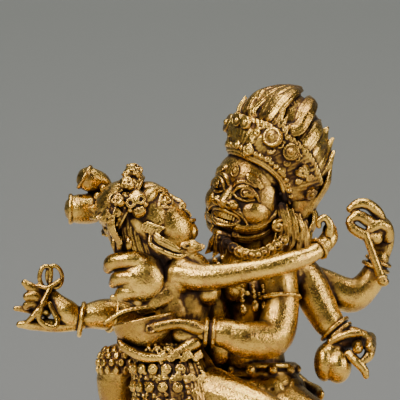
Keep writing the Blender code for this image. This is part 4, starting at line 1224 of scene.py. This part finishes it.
def make_plinth():
    """The petals swell from a recessed waist; each has a raised rim and a ridge."""
    middle = (plinth_low + plinth_high) / 2
    height = plinth_high.z - plinth_low.z
    out_most = 0.0058
    foot_out = 0.0034
    edge = 0.0004
    petal_swell = 0.0024
    rim_beads = 150
    half_x = (plinth_high.x - plinth_low.x) / 2 - out_most * 0.95
    half_y = (plinth_high.y - plinth_low.y) / 2 - out_most * 0.95
    foot_ring = 0.0026
    top_band = 0.0026
    levels = [(0.0, foot_out - edge, 0.0), (edge, foot_out, 0.0),
              (foot_ring - edge, foot_out, 0.0), (foot_ring, foot_out - edge, 0.0),
              (foot_ring, 0.0006, 0.0)]
    petal_rows = 26
    for k in range(petal_rows + 1):
        share = k / petal_rows
        bulge = math.sin(math.pi * (0.12 + 0.78 * share)) ** 0.8
        levels.append((foot_ring + share * (height - foot_ring - top_band),
                       0.0030 * share * 0.9, bulge))
    levels += [(height - top_band, 0.0008, 0.0), (height - top_band, 0.0, 0.0),
               (height - 0.0003, 0.0, 0.0), (height, -edge, 0.0)]
    per_petal = 28
    outline = rounded_oval(half_x, half_y, PETALS * per_petal)
    form = bmesh.new()
    loops = []
    for level, step_out, bulge in levels:
        share = (level - foot_ring) / (height - foot_ring - top_band)
        loop = []
        for k, (spot, way_out) in enumerate(outline):
            across = (k % per_petal) / per_petal * 2 - 1
            width = 1.0 - 0.5 * max(0.0, share - 0.45) ** 2 * 3
            inside = max(0.0, 1 - abs(across / width) ** 2.4)
            petal = inside ** 0.5
            rim = math.exp(-((abs(across / width) - 0.80) / 0.08) ** 2) * 0.16
            ridge = math.exp(-(across / 0.06) ** 2) * 0.12
            out = step_out + bulge * (petal + (rim + ridge) * (petal > 0)) * petal_swell
            loop.append(form.verts.new(
                Vector((middle.x, middle.y, plinth_low.z + level)) + spot + way_out * out
            ))
        loops.append(loop)
    for a, b in zip(loops, loops[1:]):
        for k in range(len(outline)):
            n = (k + 1) % len(outline)
            form.faces.new((a[k], a[n], b[n], b[k]))
    form.faces.new(loops[0][::-1])
    form.faces.new(loops[-1])
    bead = 0.0009
    for spot, way_out in rounded_oval(half_x, half_y, rim_beads):
        centre = Vector((middle.x, middle.y, plinth_low.z + height - top_band * 0.5))
        ball(form, centre + spot + way_out * bead * 0.3, (bead,) * 3, sides=10, rings=8)
    mesh = bpy.data.meshes.new("lotus_plinth")
    form.to_mesh(mesh)
    form.free()
    mesh.polygons.foreach_set("use_smooth", [True] * len(mesh.polygons))
    piece = bpy.data.objects.new("lotus_plinth", mesh)
    bpy.context.collection.objects.link(piece)
    return piece


plinth = make_plinth()
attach(plinth, "root")
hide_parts("lotus_base")


# Gilding, patina and painted shade
# Mercury gilding rubbed bright on the ridges, with a brown-black patina skin left in the hollows
# and painted shade darkening it where a spot is sheltered. Two masks are kept on each vertex: how
# hollow the spot is, for the patina, and how sheltered, for the painted shade.
def neighbour_mean(values, edges, count):
    total = np.zeros_like(values)
    for c in range(values.shape[1]):
        total[:, c] = np.bincount(edges[:, 0], weights=values[edges[:, 1], c],
                                  minlength=count)
        total[:, c] += np.bincount(edges[:, 1], weights=values[edges[:, 0], c],
                                   minlength=count)
    degree = np.bincount(edges.ravel(), minlength=count)
    return total / np.maximum(degree, 1)[:, None]


def mesh_arrays(mesh):
    count = len(mesh.vertices)
    spots = np.empty(count * 3)
    mesh.vertices.foreach_get("co", spots)
    normals = np.empty(count * 3)
    mesh.vertices.foreach_get("normal", normals)
    edges = np.empty(len(mesh.edges) * 2, dtype=np.int64)
    mesh.edges.foreach_get("vertices", edges)
    return spots.reshape(-1, 3), normals.reshape(-1, 3), edges.reshape(-1, 2)


def everything_tree(pieces):
    """One tree of all the pieces' faces, to cast the rays that find how sheltered a spot is, for
    the painted shade.
    """
    spots = []
    faces = []
    shift = 0
    for piece in pieces:
        mesh = piece.data
        co, _, _ = mesh_arrays(mesh)
        mesh.calc_loop_triangles()
        corners = np.empty(len(mesh.loop_triangles) * 3, dtype=np.int64)
        mesh.loop_triangles.foreach_get("vertices", corners)
        spots.append(co)
        faces.append(corners.reshape(-1, 3) + shift)
        shift += len(co)
    return BVHTree.FromPolygons(
        np.concatenate(spots).tolist(), np.concatenate(faces).tolist(), all_triangles=True
    )


# Rays for the painted ambient-occlusion shade: how far they reach, how many per vertex, and how
# far above the skin they start.
FEEL_LENGTH = 0.011
FEELERS = 5
FEEL_LIFT = 0.00012


def mark_hollows_and_shade(piece, tree, rng):
    """Writes how hollow each vertex is, for the patina, and how open it is to rays, for the
    painted shade, as a colour on the mesh.
    """
    mesh = piece.data
    spots, normals, edges = mesh_arrays(mesh)
    count = len(spots)
    edge_length = np.linalg.norm(spots[edges[:, 0]] - spots[edges[:, 1]], axis=1).mean()
    smooth = spots.copy()
    fine_at = 4
    broad_at = 36
    for k in range(broad_at):
        smooth = neighbour_mean(smooth, edges, count)
        if k + 1 == fine_at:
            fine = ((smooth - spots) * normals).sum(axis=1)
    broad = ((smooth - spots) * normals).sum(axis=1)
    fine = np.clip(0.5 + fine / (edge_length * 0.9), 0, 1)
    broad = np.clip(0.5 + broad / (edge_length * 3.2), 0, 1)
    # Rays cast from each vertex find how open it is; the sheltered share becomes painted shade in
    # the colour.
    ways = rng.normal(size=(count, FEELERS, 3))
    ways /= np.linalg.norm(ways, axis=2, keepdims=True)
    ways = ways * 0.95 + normals[:, None, :]
    ways /= np.linalg.norm(ways, axis=2, keepdims=True)
    starts = (spots + normals * FEEL_LIFT).tolist()
    ways = ways.tolist()
    cast_ray = tree.ray_cast
    open_share = np.empty((count, 1))
    for i in range(count):
        start = starts[i]
        free = 0.0
        for way in ways[i]:
            distance = cast_ray(start, way, FEEL_LENGTH)[3]
            free += 1.0 if distance is None else distance / FEEL_LENGTH * 0.8
        open_share[i, 0] = free / FEELERS
    for _ in range(4):
        open_share = 0.5 * open_share + 0.5 * neighbour_mean(open_share, edges, count)
    colours = np.ones((count, 4))
    colours[:, 0] = fine
    colours[:, 1] = broad
    colours[:, 2] = open_share[:, 0]
    layer = mesh.color_attributes.new("hollows_and_shade", "FLOAT_COLOR", "POINT")
    layer.data.foreach_set("color", colours.ravel())


# Places where painted shadow darkens the gilding: a middle, and how far it reaches.
PAINTED_SHADOW_SPOTS = (
    (onto_world @ Vector((-116, -10, 320)), 13 * STEP),
    (onto_world @ Vector((-124, -14, 296)), 13 * STEP),
    (onto_world @ Vector((-112, -58, 252)), 12 * STEP),
    (onto_world @ Vector((-78, -60, 232)), 18 * STEP),
    (onto_world @ Vector((-14, -40, 258)), 20 * STEP),
    (onto_world @ Vector((46, -28, 300)), 13 * STEP),
)


GOLD_DULL = (0.38, 0.22, 0.045)
GOLD_BRIGHT = (0.84, 0.55, 0.12)
RUBBED_THIN = (0.34, 0.17, 0.065)
RED_SPECK = (0.20, 0.085, 0.045)
# The brown and black skins are patina in the hollows and painted shade where a spot is sheltered
# or near a painted shadow spot.
BROWN_SKIN_AND_SHADE = (0.085, 0.040, 0.018)
BLACK_SKIN_AND_SHADE = (0.022, 0.013, 0.010)


def gilt_material(name, tone, painted_shadows=()):
    """Worn fire gilding with patina and painted shade; a tone under 1 is duller, and the last
    argument lists places darkened with painted shadow.
    """
    material = bpy.data.materials.new(name)
    material.use_nodes = True
    nodes = material.node_tree.nodes
    links = material.node_tree.links
    shader = nodes["Principled BSDF"]
    coordinates = nodes.new("ShaderNodeTexCoord")

    def add(kind, **inputs):
        node = nodes.new(kind)
        for key, value in inputs.items():
            node.inputs[key.replace("_", " ")].default_value = value
        return node

    def noise_of(scale, detail, rough=0.55):
        node = add("ShaderNodeTexNoise", Scale=scale, Detail=detail, Roughness=rough)
        links.new(coordinates.outputs["Object"], node.inputs["Vector"])
        return node.outputs["Fac"]

    def steps(fac, *stops):
        ramp = nodes.new("ShaderNodeValToRGB")
        links.new(fac, ramp.inputs["Fac"])
        elements = ramp.color_ramp.elements
        while len(elements) < len(stops):
            elements.new(0.5)
        for element, (position, value) in zip(elements, stops):
            element.position = position
            colour = value if isinstance(value, tuple) else (value, value, value)
            element.color = (*colour, 1.0)
        return ramp.outputs["Color"]

    def maths(kind, a, b, clamp=False):
        node = nodes.new("ShaderNodeMath")
        node.operation = kind
        node.use_clamp = clamp
        for socket, value in zip(node.inputs, (a, b)):
            if isinstance(value, (int, float)):
                socket.default_value = value
            else:
                links.new(value, socket)
        return node.outputs[0]

    def mix(fac, a, b):
        node = nodes.new("ShaderNodeMix")
        node.data_type = "RGBA"
        links.new(fac, node.inputs["Factor"])
        for socket, value in ((node.inputs[6], a), (node.inputs[7], b)):
            if isinstance(value, tuple):
                socket.default_value = (*value, 1.0)
            else:
                links.new(value, socket)
        return node.outputs[2]

    hollows_and_shade = nodes.new("ShaderNodeAttribute")
    hollows_and_shade.attribute_name = "hollows_and_shade"
    parts = nodes.new("ShaderNodeSeparateColor")
    links.new(hollows_and_shade.outputs["Color"], parts.inputs["Color"])
    fine, broad, open_share = (parts.outputs[i] for i in range(3))

    hollow = maths("ADD", maths("MULTIPLY", fine, 0.5), maths("MULTIPLY", broad, 0.6))
    # Painted shade: the sheltered share from the rays darkens the colour, as ambient occlusion.
    painted_occlusion_shade = maths("SUBTRACT", 1.0, open_share)
    patina_and_painted_shade = maths("ADD", maths("MULTIPLY", hollow, 0.9), maths("MULTIPLY", painted_occlusion_shade, 0.75))
    patina_and_painted_shade = maths("ADD", patina_and_painted_shade, maths("MULTIPLY", noise_of(420, 8, 0.65), 0.62))
    patina_and_painted_shade = maths("ADD", patina_and_painted_shade, maths("MULTIPLY", noise_of(90, 4), 0.34))
    # Painted shadow: each listed spot darkens the gilding around it.
    for spot, reach in painted_shadows:
        gap = nodes.new("ShaderNodeVectorMath")
        gap.operation = "DISTANCE"
        links.new(coordinates.outputs["Object"], gap.inputs[0])
        gap.inputs[1].default_value = spot
        near = maths("SUBTRACT", 1.0, maths("DIVIDE", gap.outputs["Value"], reach), True)
        patina_and_painted_shade = maths("ADD", patina_and_painted_shade, maths("MULTIPLY", near, 1.1))
    patina_and_painted_shade = maths("MULTIPLY", patina_and_painted_shade, 0.5)
    # Brown and black skins: patina from hollows and noise, painted shade from the rays and the
    # painted shadow spots.
    brown_patina_and_shade = steps(patina_and_painted_shade, (0.455, 0.0), (0.60, 1.0))
    black_patina_and_shade = steps(patina_and_painted_shade, (0.55, 0.0), (0.70, 1.0))
    gold = steps(noise_of(60, 5), (0.36, tuple(c * tone for c in GOLD_DULL)),
                 (0.62, tuple(c * tone for c in GOLD_BRIGHT)))
    rubbed = steps(noise_of(260, 8, 0.7), (0.48, 0.0), (0.64, 1.0))
    worn = mix(maths("MULTIPLY", rubbed, 0.62), gold, RUBBED_THIN)
    specks = steps(noise_of(1100, 6, 0.7), (0.54, 0.0), (0.66, 1.0))
    worn = mix(maths("MULTIPLY", specks, 0.5), worn, RED_SPECK)
    tarnished_and_shaded = mix(brown_patina_and_shade, worn, BROWN_SKIN_AND_SHADE)
    colour = mix(black_patina_and_shade, tarnished_and_shaded, BLACK_SKIN_AND_SHADE)
    links.new(colour, shader.inputs["Base Color"])
    rough = maths("ADD", maths("MULTIPLY", brown_patina_and_shade, 0.22), maths("MULTIPLY", noise_of(700, 4), 0.3))
    rough = maths("ADD", rough, 0.11, clamp=True)
    links.new(rough, shader.inputs["Roughness"])
    metal = maths("SUBTRACT", 1.0, maths("MULTIPLY", black_patina_and_shade, 0.15))
    links.new(metal, shader.inputs["Metallic"])
    shader.inputs["Specular IOR Level"].default_value = 0.4
    bump = add("ShaderNodeBump", Strength=0.55, Distance=0.0004)
    height = maths("ADD", noise_of(1300, 5), maths("MULTIPLY", noise_of(380, 5), 0.8))
    links.new(height, bump.inputs["Height"])
    links.new(bump.outputs["Normal"], shader.inputs["Normal"])
    return material


rng = np.random.default_rng(7)
whole_tree = everything_tree(cast_pieces + [plinth])
for piece in cast_pieces + [plinth]:
    mark_hollows_and_shade(piece, whole_tree, rng)
gilt_group = gilt_material("gilt_bronze_worn_and_shaded", tone=1.0, painted_shadows=PAINTED_SHADOW_SPOTS)
for piece in cast_pieces:
    piece.data.materials.clear()
    piece.data.materials.append(gilt_group)
plinth.data.materials.append(gilt_material("gilt_plinth_worn_and_shaded", tone=0.92))
